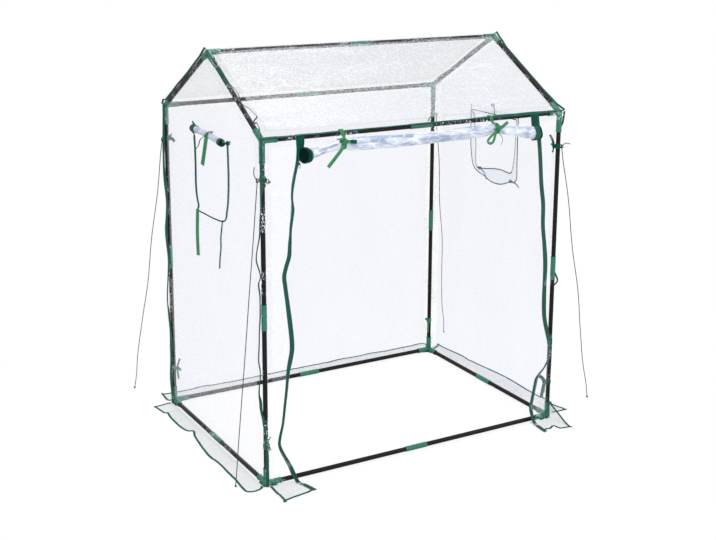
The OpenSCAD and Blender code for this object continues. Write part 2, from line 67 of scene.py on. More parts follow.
lens = bpy.data.cameras.new("camera")
lens.lens = 61.74
lens.sensor_width = 36
lens.shift_y = -0.1006
camera = bpy.data.objects.new("camera", lens)
camera.location = at(-2.618, -4.558, 2.221)
round_by, down_by = math.radians(-29.81), math.radians(13.13)
level_way = Vector((-math.sin(round_by), math.cos(round_by), 0))
ahead = level_way * math.cos(down_by) - Vector((0, 0, math.sin(down_by)))
level = ahead.to_track_quat("-Z", "Y")
camera_tilt = math.radians(0.25)
camera.rotation_mode = "QUATERNION"
camera.rotation_quaternion = level @ Quaternion((0, 0, 1), camera_tilt)
bpy.context.scene.collection.objects.link(camera)
bpy.context.scene.camera = camera


# ---------------------------------------------------------------- guy ropes
# Four thin cords of two twisted dark strands, knotted to the corner seams by the upper ties.
# Each runs down to the ground a little slack, and ends in a small knot.

class Wire:
    """An output of one of a finish's nodes. Sums on wires add Math nodes to the finish."""

    def __init__(self, socket):
        self.socket = socket

    def node(self, kind, settings=None, values=None, out=0):
        made = self.socket.id_data.nodes.new("ShaderNode" + kind)
        for name, value in (settings or {}).items():
            setattr(made, name, value)
        for name, value in (values or {}).items():
            feed(made.inputs[name], value)
        return Wire(made.outputs[out])

    def math(self, operation, *others):
        return self.node("Math", {"operation": operation}, dict(enumerate((self, *others))))

    def __add__(self, other):
        return self.math("ADD", other)

    def __sub__(self, other):
        return self.math("SUBTRACT", other)

    def __rsub__(self, other):
        return (self * -1).math("ADD", other)

    def __mul__(self, other):
        return self.math("MULTIPLY", other)

    __radd__ = __add__
    __rmul__ = __mul__

    def between(self, low, high):
        """0 up to low, 1 from high, and a soft rise between them."""
        return self.node(
            "MapRange", {"interpolation_type": "SMOOTHSTEP"}, {"Value": self, "From Min": low, "From Max": high}
        )

    def colour(self, dark, light):
        """From one colour at 0 to another at 1; either may be a wire."""
        return self.node("Mix", {"data_type": "RGBA"}, {0: self, 6: dark, 7: light}, 2)

    def scaled(self, x, y, z):
        return self.node("Mapping", None, {"Vector": self, "Scale": (x, y, z)})

    def noise(self, scale, detail=2, warp=0):
        return self.node("TexNoise", None, {"Vector": self, "Scale": scale, "Detail": detail, "Distortion": warp})

    def bump(self, strength, height):
        return self.node("Bump", None, {"Height": self, "Strength": strength, "Distance": height})


def feed(socket, value):
    if isinstance(value, Wire):
        socket.id_data.links.new(value.socket, socket)
    elif socket.type == "RGBA":
        socket.default_value = (*value, 1)
    else:
        socket.default_value = value


def finish(name, **constants):
    """A new material, its shader's inputs, and wires for the object's coordinates and its UV map."""
    material = bpy.data.materials.new(name)
    material.use_nodes = True
    inputs = material.node_tree.nodes["Principled BSDF"].inputs
    for socket, value in constants.items():
        feed(inputs[socket.replace("_", " ")], value)
    spot = material.node_tree.nodes.new("ShaderNodeTexCoord")
    return material, inputs, Wire(spot.outputs["Object"]), Wire(spot.outputs["UV"])


def smooth(points, step):
    """Places about a step apart on a soft line through the given points."""
    points = [Vector(p) for p in points]
    points = [2 * points[0] - points[1], *points, 2 * points[-1] - points[-2]]
    fine = []
    for a, b, c, d in zip(points, points[1:], points[2:], points[3:]):
        for i in range(10):
            t = i / 10
            fine.append((2 * b + (c - a) * t + (2 * a - 5 * b + 4 * c - d) * t * t
                         + (3 * b - a - 3 * c + d) * t ** 3) / 2)
    fine.append(points[-2])
    gone = [0]
    for a, b in zip(fine, fine[1:]):
        gone.append(gone[-1] + (b - a).length)
    count = max(2, round(gone[-1] / step))
    places, i = [], 0
    for k in range(count + 1):
        goal = gone[-1] * k / count
        while i < len(gone) - 2 and gone[i + 1] < goal:
            i += 1
        share = (goal - gone[i]) / max(gone[i + 1] - gone[i], 1e-9)
        places.append(fine[i].lerp(fine[i + 1], share))
    return places


def length_of(line):
    return sum((b - a).length for a, b in zip(line, line[1:]))


def directed(line):
    """Each place of a line with two directions across it, which turn as little as they can."""
    across, run = Vector((0.31, 0.17, 0.93)), []
    for i, place in enumerate(line):
        along = (line[min(i + 1, len(line) - 1)] - line[max(i - 1, 0)]).normalized()
        across = (across - across.dot(along) * along).normalized()
        run.append((place, across, along.cross(across)))
    return run


def once(items):
    """Each of the items once, in the order in which they come."""
    return list(dict.fromkeys(items))


def skin(bm, place, around, along, size=(1, 1), closed=False):
    """Lays a grid out by place(u, v), u and v from 0 to 1, with its UV map scaled to size. A closed one
    is joined from u = 1 to u = 0 and capped at both ends."""
    uv = bm.loops.layers.uv.verify()
    made = bmesh.ops.create_grid(bm, x_segments=around, y_segments=along, size=0.5, calc_uvs=True)["verts"]
    for face in once(f for v in made for f in v.link_faces):
        for loop in face.loops:
            loop[uv].uv = (loop[uv].uv.x * size[0], loop[uv].uv.y * size[1])
    for v in made:
        v.co = place(v.co.x + 0.5, v.co.y + 0.5)
    if closed:
        bmesh.ops.remove_doubles(bm, verts=made, dist=1e-6)
        made = [v for v in made if v.is_valid]
        rims = once(e for v in made for e in v.link_edges if e.is_boundary)
        bmesh.ops.holes_fill(bm, edges=rims, sides=0)
        bmesh.ops.recalc_face_normals(bm, faces=once(f for v in made for f in v.link_faces))
    return bm


def rod(bm, line, radius, around):
    """A round strand along a line."""
    run = directed(line)
    last = len(run) - 1

    def place(u, v):
        spot, a, b = run[round(v * last)]
        angle = math.tau * u
        return spot + radius * (math.cos(angle) * a + math.sin(angle) * b)

    return skin(bm, place, around, last, (1, length_of(line)), closed=True)


def piece(name, bm, material, stands_for=()):
    """Makes the object of a finished mesh, and lets it ride on the frame."""
    mesh = bpy.data.meshes.new(name)
    bm.to_mesh(mesh)
    bm.free()
    mesh.shade_smooth()
    mesh.materials.append(material)
    obj = bpy.data.objects.new(name, mesh)
    bpy.context.scene.collection.objects.link(obj)
    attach(obj, "root")
    if stands_for:
        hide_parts(*stands_for)
    return obj


rope_grey, shader, spot, uv = finish("rope_grey", Roughness=0.75)
fibres = uv.scaled(6, 1400, 1).noise(1, 2)
feed(shader["Base Color"], fibres.colour((0.012, 0.010, 0.010), (0.055, 0.046, 0.044)))
feed(shader["Normal"], fibres.bump(0.5, 0.0004))

upper_tie = 1.242
rope_top = 0.0204
rope_thick = 0.0022
rope_lay = 0.018
strand_thick, strand_off = 0.00115, 0.0010
knot_thick = 0.0019
guy_reach = 0.313
# how a rope wavers on its way down: share of the way, and how far aside as a share of its reach
rope_run = [(0.06, 0), (0.2, 0.022), (0.38, 0.006), (0.55, 0.029), (0.7, 0.003), (0.85, -0.013), (0.94, 0.006)]
# each rope's side and end of the frame, and how far out its foot is
rope_feet = {
    "front_left": (-1, -1, 0.35, -0.17), "back_left": (-1, 1, 0.33, 0.82),
    "front_right": (1, -1, 1, -0.3), "back_right": (1, 1, 0.74, 0.66),
}


def rope_strand(line, turned):
    """One of a rope's two strands, wound round the rope's line."""
    turns = length_of(line) / rope_lay
    strand = []
    for i, (spot, a, b) in enumerate(directed(line)):
        angle = turned + math.tau * turns * i / (len(line) - 1)
        strand.append(spot + strand_off * (math.cos(angle) * a + math.sin(angle) * b))
    return strand


def rope_knot(spot, turn):
    """A small loop round a rope's end, drawn together by its turn."""
    loop = []
    for i in range(17):
        t = math.tau * i / 16
        loop.append(spot + Vector((
            0.0055 * turn * math.sin(t), 0.004 * math.sin(2 * t + turn), 0.0085 * turn * math.cos(t)
        )))
    return loop


for corner, (side, end, out_x, out_y) in rope_feet.items():
    top = at(side * (half_w + rope_top), end * half_d, upper_tie)
    foot = at(side * (half_w + out_x * guy_reach), end * (half_d + out_y * guy_reach), rope_thick)
    run = foot - top
    aside = Vector((run.y, -run.x, 0)).normalized()
    line = smooth(
        [top] + [top + share * run + waver * guy_reach * aside for share, waver in rope_run] + [foot], rope_thick
    )
    bm = bmesh.new()
    for turned in (0, math.pi):
        rod(bm, rope_strand(line, turned), strand_thick, 6)
    for spot, turn in ((top, 0.9), (foot + Vector((0, 0, rope_thick)), 0.4)):
        rod(bm, rope_knot(spot, turn), knot_thick, 7)
    piece("guy_rope_" + corner, bm, rope_grey)
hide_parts("guy_ropes")

# two of the ropes' spare ends stand off by their knots
bm = bmesh.new()
for side, reaches in (
    (-1, [(0, 0, 0), (-0.008, 0, 0.010), (-0.014, 0.001, 0.030), (-0.010, 0.002, 0.052)]),
    (1, [(0, 0, 0), (0.014, 0, 0.010), (0.030, -0.001, 0.012), (0.044, -0.002, 0.006)]),
):
    top = at(side * (half_w + rope_top), -half_d, upper_tie)
    rod(bm, smooth([top + Vector(reach) for reach in reaches], 0.003), knot_thick, 6)
piece("rope_ends", bm, rope_grey)


# ---------------------------------------------------------------- steel tubes
# Thin steel tube, powder coated almost black. The posts and rails are two lengths that meet in a
# sleeve; the rafters are one length. The coat has a faint orange peel and rubs where it is handled.

tube_black, shader, spot, uv = finish("tube_black", Specular_IOR_Level=0.14)
cloudy = spot.noise(9, 3)
rubbed = spot.scaled(1, 1, 0.25).noise(260, 3, 0.6).between(0.66, 0.8)
coat = cloudy.colour((0.004, 0.004, 0.0045), (0.009, 0.008, 0.0085))
feed(shader["Base Color"], (rubbed * 0.5).colour(coat, (0.07, 0.065, 0.07)))
feed(shader["Roughness"], cloudy * 0.14 + 0.34 + rubbed * 0.15)
feed(shader["Normal"], (spot.noise(900, 1) + rubbed * 0.4).bump(0.12, 0.0004))


# ---------------------------------------------------------------- moulded fittings and sleeves
# Green moulded plastic: corners with a socket for each tube, and sleeves that join two lengths.
# They are pushed together by hand, so nothing but their grip holds them.

fitting_green, shader, spot, uv = finish("fitting_green", Specular_IOR_Level=0.45)
cloudy = spot.noise(14, 3)
grain = spot.noise(1300, 2)
feed(shader["Base Color"], cloudy.colour((0.010, 0.115, 0.075), (0.016, 0.165, 0.105)))
feed(shader["Roughness"], grain * 0.2 + 0.36)
feed(shader["Normal"], grain.bump(0.25, 0.0003))

for name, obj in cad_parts.items():
    if name.startswith(("post_", "base_rail", "eave_rail", "ridge_rail", "rafter_")):
        coat = tube_black
    else:
        coat = fitting_green
    obj.data.materials.clear()
    obj.data.materials.append(coat)


# ---------------------------------------------------------------- film walls and roof
# Thin clear film, welded and bound into one loose cover that is pulled over the frame. It clings
# to the tubes in little creases, where white flecks in its colour are painted glints, and hangs between
# them in long soft folds; its crease lines are painted lighter as a painted highlight.

def film_finish(name, folds, veil, thin, thick, mottle, shine):
    """Film as a thin haze. Its veil is how much it hides, less where it is pressed on a tube; it is mottled
    from a thin colour to a thick one, and shine is a painted glow: light that it gives off as an emission, though
    it is no lamp."""
    # the film gives off shine as an emission: a painted glow that lightens it, not a lamp
    material, shader, spot, uv = finish(
        name, Roughness=0.34, IOR=1.46, Specular_IOR_Level=0.22, Emission_Color=(shine, shine, shine),
        Emission_Strength=1
    )
    crumple = spot.scaled(*folds)
    drift = crumple.node("TexNoise", None, {"Vector": crumple, "Scale": 5, "Detail": 2}, 1)
    bent = crumple.node(
        "VectorMath", {"operation": "MULTIPLY_ADD"}, {0: drift, 1: (0.35, 0.35, 0.35), 2: crumple}
    )
    long_folds = bent.noise(4.5, 3)
    edges = bent.node("TexVoronoi", {"feature": "DISTANCE_TO_EDGE"}, {"Vector": bent, "Scale": 9})
    creases = (1 - edges.between(0.0, 0.04)) * spot.noise(3.5, 2).between(0.45, 0.62)
    touch = spot.node("Attribute", {"attribute_name": "touch"}, None, 2)
    pressed = touch.between(0.25, 0.7)
    speckle = spot.noise(110, 3, 0.8).between(0.4, 0.62)
    # painted glints: white flecks where the film is pressed on a tube, painted into its colour and veil
    painted_glints = spot.scaled(1, 1, 0.6).noise(200, 2, 0.6).between(0.56, 0.62) * pressed
    painted_glints *= spot.noise(14, 2).between(0.42, 0.6)
    milky = (touch * -1).between(0.1, 0.8)
    haze = long_folds.between(0.35, 0.7)
    clouds = (speckle * mottle + haze * 0.2 + 0.9 - mottle * 0.5) * (1 - pressed * 0.84) * veil
    alpha = clouds + creases * 0.05 + painted_glints * 0.65 + milky * 0.12
    # painted highlight on the creases and the glints, with the milky film along the stitching, mixed towards
    # white
    highlight_and_milk = (creases * 0.3 + painted_glints + milky * 0.4).math("MINIMUM", 1)
    body = speckle.colour(thin, thick)
    feed(shader["Base Color"], highlight_and_milk.colour(pressed.colour(body, (0.04, 0.05, 0.08)), (0.92, 0.94, 1.0)))
    feed(shader["Alpha"], alpha.math("MINIMUM", 0.9))
    height = long_folds * 3 + creases + painted_glints * 0.6 + bent.noise(30, 2) * 0.3
    feed(shader["Normal"], height.bump(0.09, 0.004))
    return material


eave_z = middle("eave_rail_front").z
ridge_z = middle("ridge_rail").z
base_z = middle("base_rail_front").z
stand_off = 0.0131
wall_x, wall_y = half_w + stand_off, half_d + stand_off
pitch = math.atan2(ridge_z - eave_z, half_d)


def roof_z(y):
    """How high the roof's film lies over a place."""
    return eave_z + (half_d - abs(y)) * math.tan(pitch) + stand_off / math.cos(pitch)


def stepped(table, at_value):
    """Reads a soft line through (place, value, ...) rows that are sorted by place."""
    if at_value <= table[0][0]:
        return table[0][1:]
    for a, b in zip(table, table[1:]):
        if at_value <= b[0]:
            share = (at_value - a[0]) / (b[0] - a[0])
            share = share * share * (3 - 2 * share)
            return tuple(p + (q - p) * share for p, q in zip(a[1:], b[1:]))
    return table[-1][1:]


# how far the bound corner seams have slipped from the posts: height, along x, along y
seam_slip = {
    (-1, -1): [
        (0, 0.006, -0.002), (0.1, 0.006, -0.002), (0.24, 0.002, 0), (0.27, -0.004, 0.007), (0.34, -0.01, 0.019),
        (0.4, -0.01, 0.019), (0.477, -0.006, 0.012), (0.53, -0.01, 0.019), (0.615, -0.008, 0.015),
        (0.73, -0.005, 0.009), (0.79, -0.005, 0.009), (0.838, -0.008, 0.014), (0.869, -0.003, 0.006),
        (0.936, -0.012, 0.023), (1.05, -0.003, 0.006), (1.17, 0, 0.001), (1.392, 0, 0)
    ],
    (1, -1): [
        (0, -0.004, 0), (0.05, -0.012, -0.002), (0.37, -0.010, -0.002), (0.43, 0, 0.03), (0.6, 0, 0.03),
        (0.645, 0.003, 0), (0.7, 0, 0.034), (1.29, 0, 0.036), (1.36, 0, 0.004), (1.392, 0, 0)
    ],
    (-1, 1): [
        (0, 0, 0), (0.12, -0.004, 0.002), (0.3, 0.002, 0.001), (0.5, -0.005, 0.004), (0.66, 0.004, 0.002),
        (0.82, -0.004, 0.004), (0.95, 0.002, 0), (1.13, -0.005, 0.005), (1.392, 0, 0)
    ],
    (1, 1): [
        (0, 0, 0), (0.2, 0.003, 0.004), (0.44, -0.003, 0.002), (0.6, 0.006, 0.005), (0.86, 0, 0.001),
        (1.0, 0.007, 0.004), (1.2, 0.001, 0.001), (1.392, 0, 0)
    ],
}


def corner_seam(side, end, z):
    """Where the corner seam runs, as x and y from the middle of the frame."""
    slip_x, slip_y = stepped(seam_slip[side, end], z)
    return side * wall_x + slip_x, end * wall_y + slip_y


# how the bound rakes lie: share of the way up, height off the rafter's fittings, slip over its top
rake_slip = {
    (-1, -1): [
        (0, 0.003, 0.004), (0.05, 0.008, 0.012), (0.1, 0.012, 0.017), (0.135, 0.013, 0.018),
        (0.155, 0.002, 0.015), (0.17, 0.003, 0.016), (0.19, 0.016, 0.032), (0.26, 0.013, 0.026),
        (0.37, 0.001, 0.014), (0.47, 0.007, 0.019), (0.6, 0.001, 0.013), (0.85, -0.002, 0.010), (1, 0, 0.003)
    ],
    (-1, 1): [
        (0, -0.006, 0.004), (0.03, 0.006, 0.006), (0.08, -0.006, 0.007), (0.35, -0.005, 0.007),
        (0.6, -0.007, 0.007), (0.85, -0.005, 0.006), (1, 0, 0.003)
    ],
    (1, -1): [
        (0, 0.001, 0.002), (0.1, -0.004, 0.008), (0.3, -0.008, 0.009), (0.8, -0.008, 0.009),
        (0.92, -0.002, 0.006), (1, 0.001, 0.002)
    ],
    (1, 1): [(0, 0, 0), (0.08, 0.006, 0.003), (0.3, -0.003, 0.005), (0.6, 0.002, 0.004), (1, 0, 0)],
}


def rake_at(side, y):
    """How high a rake's seam stands at y, and how far it has slipped over the rafter."""
    return stepped(rake_slip[side, 1 if y > 0 else -1], max(0.0, 1 - abs(y) / wall_y))


def slack(a, b, seed, stretch_a, stretch_b):
    """How far loose film stands off its plane: broad swells, folds and small creases."""
    spot = Vector((a * stretch_a, b * stretch_b, 3.7 * seed))
    broad = noise.noise(spot * 3.1)
    folds = 1 - 2 * abs(noise.noise(spot * 8 + Vector((broad, 0, 0))))
    small = 1 - 2 * abs(noise.noise(spot * 24))
    return 0.005 * broad + 0.0016 * folds + 0.0006 * small


def beside(gap):
    """1 on a tube's line, and less with the distance from it."""
    return math.exp(-(gap / 0.028) ** 2)


def drawn(gap):
    """How much of a corner seam's slip the film follows, at a distance from the corner."""
    return max(0.0, 1 - gap / 0.16) ** 2


def foot_flare(z):
    """How far film is turned out just above the ground, where it runs into the skirts."""
    return 0.012 * math.exp(-z / 0.012)


def inside(spot, outline):
    """Whether a spot lies in a closed outline."""
    odd = False
    for (ax, ay), (bx, by) in zip(outline, outline[1:] + outline[:1]):
        if (ay > spot.y) != (by > spot.y) and spot.x < (bx - ax) * (spot.y - ay) / (by - ay) + ax:
            odd = not odd
    return odd


def cut_sheet(outline, cell, holes=()):
    """A flat sheet of cells, cut to an outline and round its holes. Its UV map is its cut, in metres."""
    bm = bmesh.new()
    uv = bm.loops.layers.uv.verify()
    low = Vector((min(p[0] for p in outline), min(p[1] for p in outline), 0))
    high = Vector((max(p[0] for p in outline), max(p[1] for p in outline), 0))
    wide, tall = high.x - low.x, high.y - low.y
    cells = round(wide / cell), round(tall / cell)
    bmesh.ops.create_grid(bm, x_segments=cells[0], y_segments=cells[1], size=0.5, calc_uvs=True)
    for v in bm.verts:
        v.co = Vector(((v.co.x + 0.5) * wide + low.x, (v.co.y + 0.5) * tall + low.y, 0))
    for shape, keeps in ((outline, True), *((hole, False) for hole in holes)):
        near_x, near_y = ((min(p[i] for p in shape) - cell, max(p[i] for p in shape) + cell) for i in (0, 1))
        for (ax, ay), (bx, by) in zip(shape, shape[1:] + shape[:1]):
            faces = []
            for f in bm.faces:
                heart = f.calc_center_median()
                if near_x[0] < heart.x < near_x[1] and near_y[0] < heart.y < near_y[1]:
                    faces.append(f)
            edges = once(e for f in faces for e in f.edges)
            verts = once(v for e in edges for v in e.verts)
            bmesh.ops.bisect_plane(
                bm, geom=[*verts, *edges, *faces], dist=2e-4,
                plane_co=(ax, ay, 0), plane_no=Vector((by - ay, ax - bx, 0)).normalized(),
            )
        lost = [f for f in bm.faces if inside(f.calc_center_median(), shape) != keeps]
        bmesh.ops.delete(bm, geom=lost, context="FACES")
    for face in bm.faces:
        for loop in face.loops:
            loop[uv].uv = loop.vert.co.xy
    return bm


def hang(bm, place):
    """Moves a flat sheet's points to where it hangs; place gives the point and how near a tube it is."""
    touch = bm.verts.layers.float.new("touch")
    for v in bm.verts:
        v.co, v[touch] = place(v.co.x, v.co.y)
    return bm


def flat_area(outline):
    """The area inside a closed outline."""
    return abs(sum(ax * by - bx * ay for (ax, ay), (bx, by) in zip(outline, outline[1:] + outline[:1]))) / 2


# One film in five copies: their veils, tints and painted glows differ panel by panel as painted light, shade and
# reflection for how each panel faces the lamps and the camera
wall_film = film_finish("wall_film", (1, 1, 0.3), 0.19, (0.42, 0.48, 0.74), (0.60, 0.64, 0.80), 0.35, 0.0)
gable_film = film_finish("gable_film", (1, 1, 0.3), 0.22, (0.66, 0.66, 0.72), (0.86, 0.86, 0.88), 0.35, 0.10)
front_film = film_finish("front_film", (1, 1, 0.3), 0.11, (0.68, 0.70, 0.85), (0.92, 0.94, 1.0), 0.4, 0.28)
roof_film = film_finish("roof_film", (0.35, 1, 1), 0.40, (0.44, 0.46, 0.51), (0.61, 0.62, 0.62), 0.5, 0.0)
skirt_film = film_finish("skirt_film", (1, 1, 1), 0.36, (0.38, 0.41, 0.44), (0.50, 0.53, 0.56), 0.4, 0.0)

window_w, window_h = 0.355, 0.32
window_y, window_z = middle("window_roll_left").y - footing.y, eave_z - 0.402
# outlines as shares of the window's half width and of its height. Both holes start from an upper
# front corner, so that their tops are the stretch that closes the line.
open_shape = [
    (-1.03, 1), (-1.03, 0.5), (-0.94, 0.2), (-0.64, 0.03), (0.78, 0), (0.8, 0.06), (0.93, 0.28), (0.92, 0.74),
    (0.92, 1)
]
closed_shape = [
    (-0.8, 1), (-0.76, 0.55), (-0.7, 0.3), (-0.6, 0.21), (-0.11, 0.22), (0.69, 0.16), (0.91, 0.2), (0.94, 0.56),
    (1.05, 1)
]
flap_shape = [
    (1.2, 1.08), (1.2, 0.55), (1.17, 0.36), (1.09, 0.19), (0.9, 0.1), (0.53, 0.05), (0.26, 0), (-0.15, 0),
    (-0.58, 0.08), (-0.84, 0.13), (-0.86, 0.4), (-0.88, 1.08)
]


def window_line(shape, step):
    """The outline of a window's shape as a soft line."""
    points = [Vector((window_y + p[0] * window_w / 2, window_z + p[1] * window_h, 0)) for p in shape]
    return [(p.x, p.y) for p in smooth(points, step)]


def hung_askew(y, z):
    """The open window's cut, drawn a little forward and up."""
    return y - 0.018, z + 0.011 + 0.016 * (z - window_z) / window_h


window_holes = {
    -1: [hung_askew(y, z) for y, z in window_line(open_shape, 0.016)],
    1: window_line(closed_shape, 0.016),
}
flap_outline = window_line(flap_shape, 0.02)


def milk(side, y, z):
    """The film has gone milky along the closed window's stitching."""
    if side < 0 or abs(y - window_y) > 0.25 or abs(z - window_z - window_h / 2) > 0.22:
        return 0.0
    gap = min(math.hypot(y - a, z - b) for a, b in flap_outline + window_holes[1])
    return max(0.0, 1 - gap / 0.010)


gable_outline = [(-wall_y, 0), (wall_y, 0), (wall_y, roof_z(wall_y)), (0, roof_z(0)), (-wall_y, roof_z(wall_y))]


def gable_place(side, y, z):
    """Where a gable's film hangs, and how near a tube it is."""
    front, back = stepped(seam_slip[side, -1], z), stepped(seam_slip[side, 1], z)
    by_front, by_back = (drawn(wall_y + y), drawn(wall_y - y)) if z < eave_z else (0.0, 0.0)
    post_gap = half_d - abs(y)
    cling = max(0.0, abs(post_gap) - (0.025 if y > 0 else 0))
    rafter_gap = (roof_z(y) - stand_off - z) * math.cos(pitch)
    rail_gap = z - base_z
    touch = max(beside(cling) * (z < eave_z), beside(rafter_gap), beside(rail_gap)) - milk(side, y, z)
    free = min(abs(post_gap), abs(rafter_gap) + 0.02, abs(rail_gap) + 0.02)
    loose = min(1.0, free / 0.12)
    out = max(slack(y, z, 2 + side, 1.5, 0.45) * (0.25 + loose) + 0.004 * loose, -0.001)
    foot = foot_flare(z)
    up, over = rake_at(side, y)
    below = rafter_gap + stand_off
    if z > eave_z + 0.012:
        out -= over * max(0.0, 1 - below / 0.02) ** 2
    if z > eave_z:
        z += up * max(0.0, 1 - below / 0.06) / math.cos(pitch)
    x = side * (wall_x + out + foot) + front[0] * by_front + back[0] * by_back
    return at(x, y + front[1] * by_front + back[1] * by_back, z), touch


gable_area = flat_area(gable_outline)
for side, name, film in ((-1, "left", gable_film), (1, "right", wall_film)):
    bm = hang(cut_sheet(gable_outline, 0.016, [window_holes[side]]), lambda y, z: gable_place(side, y, z))
    if side > 0:
        bmesh.ops.reverse_faces(bm, faces=bm.faces)
    gable = piece("gable_" + name, bm, film, ["gable_film_" + name])
    roof_z(0)
    "eave_corner_front_" + name
    "eave_corner_back_" + name
    "ridge_fitting_" + name

# the roof is one width of film from the front eave over the ridge to the back eave
slope_run = wall_y / math.cos(pitch)


def roof_place(x, s):
    """Where the roof's film lies; s runs over the ridge from its front edge."""
    y = (s - slope_run) * math.cos(pitch)
    soft_y = math.sqrt(y * y + 0.004 ** 2) if abs(y) < 0.03 else abs(y)
    z = roof_z(soft_y)
    side = 1 if x > 0 else -1
    rake_gap = half_w - abs(x)
    eave_gap = (wall_y - abs(y)) / math.cos(pitch) - stand_off
    ridge_gap = abs(y) / math.cos(pitch)
    touch = max(beside(rake_gap), beside(eave_gap), beside(ridge_gap))
    loose = min(1.0, min(abs(rake_gap), abs(eave_gap), ridge_gap) / 0.1)
    sag = 0.010 * loose * math.sin(math.pi * min(1, ridge_gap / slope_run))
    up = slack(x, s, 5, 0.5, 1.6) * (0.2 + loose) - sag
    if loose < 0.2:
        up = max(up, -0.0008)
    lift, over = rake_at(side, y)
    up += lift * max(0.0, 1 - max(0.0, rake_gap) / 0.22) ** 2
    x -= side * over * max(0.0, 1 - (rake_gap + stand_off) / 0.045) ** 2
    way = 1 if y > 0 else -1
    return at(x, y + way * up * math.sin(pitch), z + up * math.cos(pitch)), touch


roof_outline = [(-wall_x, 0), (wall_x, 0), (wall_x, 2 * slope_run), (-wall_x, 2 * slope_run)]
bm = hang(cut_sheet(roof_outline, 0.018), roof_place)
roof = piece("roof", bm, roof_film, ["roof_film"])


def back_place(x, z):
    """Where the back wall's film hangs, and how near a tube it is."""
    left, right = stepped(seam_slip[-1, 1], z), stepped(seam_slip[1, 1], z)
    by_left, by_right = drawn(wall_x + x), drawn(wall_x - x)
    post_gap, rail_gap, eave_gap = half_w - abs(x), z - base_z, z - eave_z
    touch = max(beside(post_gap), beside(rail_gap), beside(eave_gap))
    loose = min(1.0, min(abs(post_gap), abs(rail_gap) + 0.02, abs(eave_gap) + 0.02) / 0.12)
    out = max(-0.001, slack(x, z, 9, 1.5, 0.45) * (0.25 + loose) + 0.004 * loose)
    y = wall_y + out + left[1] * by_left + right[1] * by_right + foot_flare(z)
    return at(x + left[0] * by_left + right[0] * by_right, y, z), touch


back_outline = [(-wall_x, 0), (wall_x, 0), (wall_x, roof_z(wall_y)), (-wall_x, roof_z(wall_y))]
bm = hang(cut_sheet(back_outline, 0.018), back_place)
back = piece("back_wall", bm, wall_film, ["back_film"])
roof_z(wall_y)

# two strips of film flank the doorway; their free edges wander in and out: share of the height, inset
strip_w = 0.157
doorway_edge = {
    -1: [
        (0.997, 1), (0.94, 0.94), (0.9, 0.85), (0.86, 0.78), (0.83, 0.765), (0.8, 0.78), (0.76, 0.73), (0.7, 0.7),
        (0.665, 0.675), (0.63, 0.56), (0.6, 0.565), (0.52, 0.645), (0.42, 0.725), (0.385, 0.7), (0.34, 0.625),
        (0.27, 0.57), (0.19, 0.46), (0.135, 0.325), (0.133, 0.325), (0.1, 0.44), (0.06, 0.62), (0.03, 0.755),
        (0, 0.86)
    ],
    1: [
        (0.997, 0.89), (0.92, 0.78), (0.86, 0.72), (0.787, 0.66), (0.72, 0.575), (0.655, 0.57), (0.6, 0.51),
        (0.53, 0.44), (0.46, 0.425), (0.4, 0.41), (0.35, 0.375), (0.305, 0.28), (0.265, 0.19), (0.23, 0.185),
        (0.2, 0.225), (0.18, 0.35), (0.158, 0.53), (0.147, 0.585), (0.095, 0.675), (0.055, 0.72), (0.015, 0.69),
        (0, 0.7)
    ],
}


def free_edge(side):
    """The doorway's edge on one side, from the ground up, as (height, x) rows."""
    rows = [(side * (half_w - inset * strip_w), share * eave_z, 0) for share, inset in doorway_edge[side]]
    return [(p.y, p.x) for p in smooth(rows[::-1], 0.012)]


edge_rows = {side: free_edge(side) for side in (-1, 1)}
# how far it stands out from the wall: height, distance
edge_flutter = {
    -1: [
        (0, 0), (0.1, 0.004), (0.2, 0.012), (0.35, 0.003), (0.6, 0.010), (0.85, 0.002), (1.1, 0.008),
        (1.39, 0.001)
    ],
    1: [(0, 0), (0.15, 0.006), (0.3, 0.010), (0.5, 0.004), (0.8, 0.009), (1.1, 0.003), (1.39, 0.001)],
}


def edge_spot(side, z):
    """The doorway's edge at a height, as x and y."""
    return stepped(edge_rows[side], z)[0], -wall_y - stepped(edge_flutter[side], z)[0] - foot_flare(z)


def mark_touch(bm, nearness):
    """Notes on each of a mesh's points how near it is to a tube."""
    touch = bm.verts.layers.float.new("touch")
    for v in bm.verts:
        v[touch] = nearness(v.co)


strip_top = roof_z(wall_y) - 0.001
for side, name in ((-1, "left"), (1, "right")):

    def strip_place(u, v):
        z = strip_top * v
        seam_x, seam_y = corner_seam(side, -1, z)
        edge_x, edge_y = edge_spot(side, z)
        x = seam_x + (edge_x - seam_x) * u
        y = seam_y + (edge_y - seam_y) * u
        loose = min(1.0, u * 3) * min(1.0, (strip_top - z) / 0.1)
        out = max(-0.0005, slack(x, z, 12 + side, 2.2, 0.4) * (0.2 + loose) + 0.003 * loose) * (1 - u ** 6)
        return at(x, y - out, z)

    bm = skin(bmesh.new(), strip_place, 14, 110)
    mark_touch(bm, lambda spot: max(
        beside(abs(spot.x - footing.x) - half_w), beside(spot.z - base_z), beside(spot.z - eave_z)
    ))
    if side > 0:
        bmesh.ops.reverse_faces(bm, faces=bm.faces)
    strip = piece("front_strip_" + name, bm, front_film, ["front_film_" + name])
    outline = [(side * wall_x, strip_top), (side * wall_x, 0)] + [(x, z) for z, x in edge_rows[side]]
    flat_area(outline)
    "eave_corner_front_" + name


# ---------------------------------------------------------------- rolled-up door
# The door is one sheet of film, rolled up from its foot into fourteen loose turns. The rolled film
# looks milky, and its crumple lines and streaks are painted lighter and darker as painted highlight and
# shade. Its zip tapes wind up with it, and show at both ends as dark green spirals, whose inner turns
# are painted near black as painted shade in the roll's hollow ends.

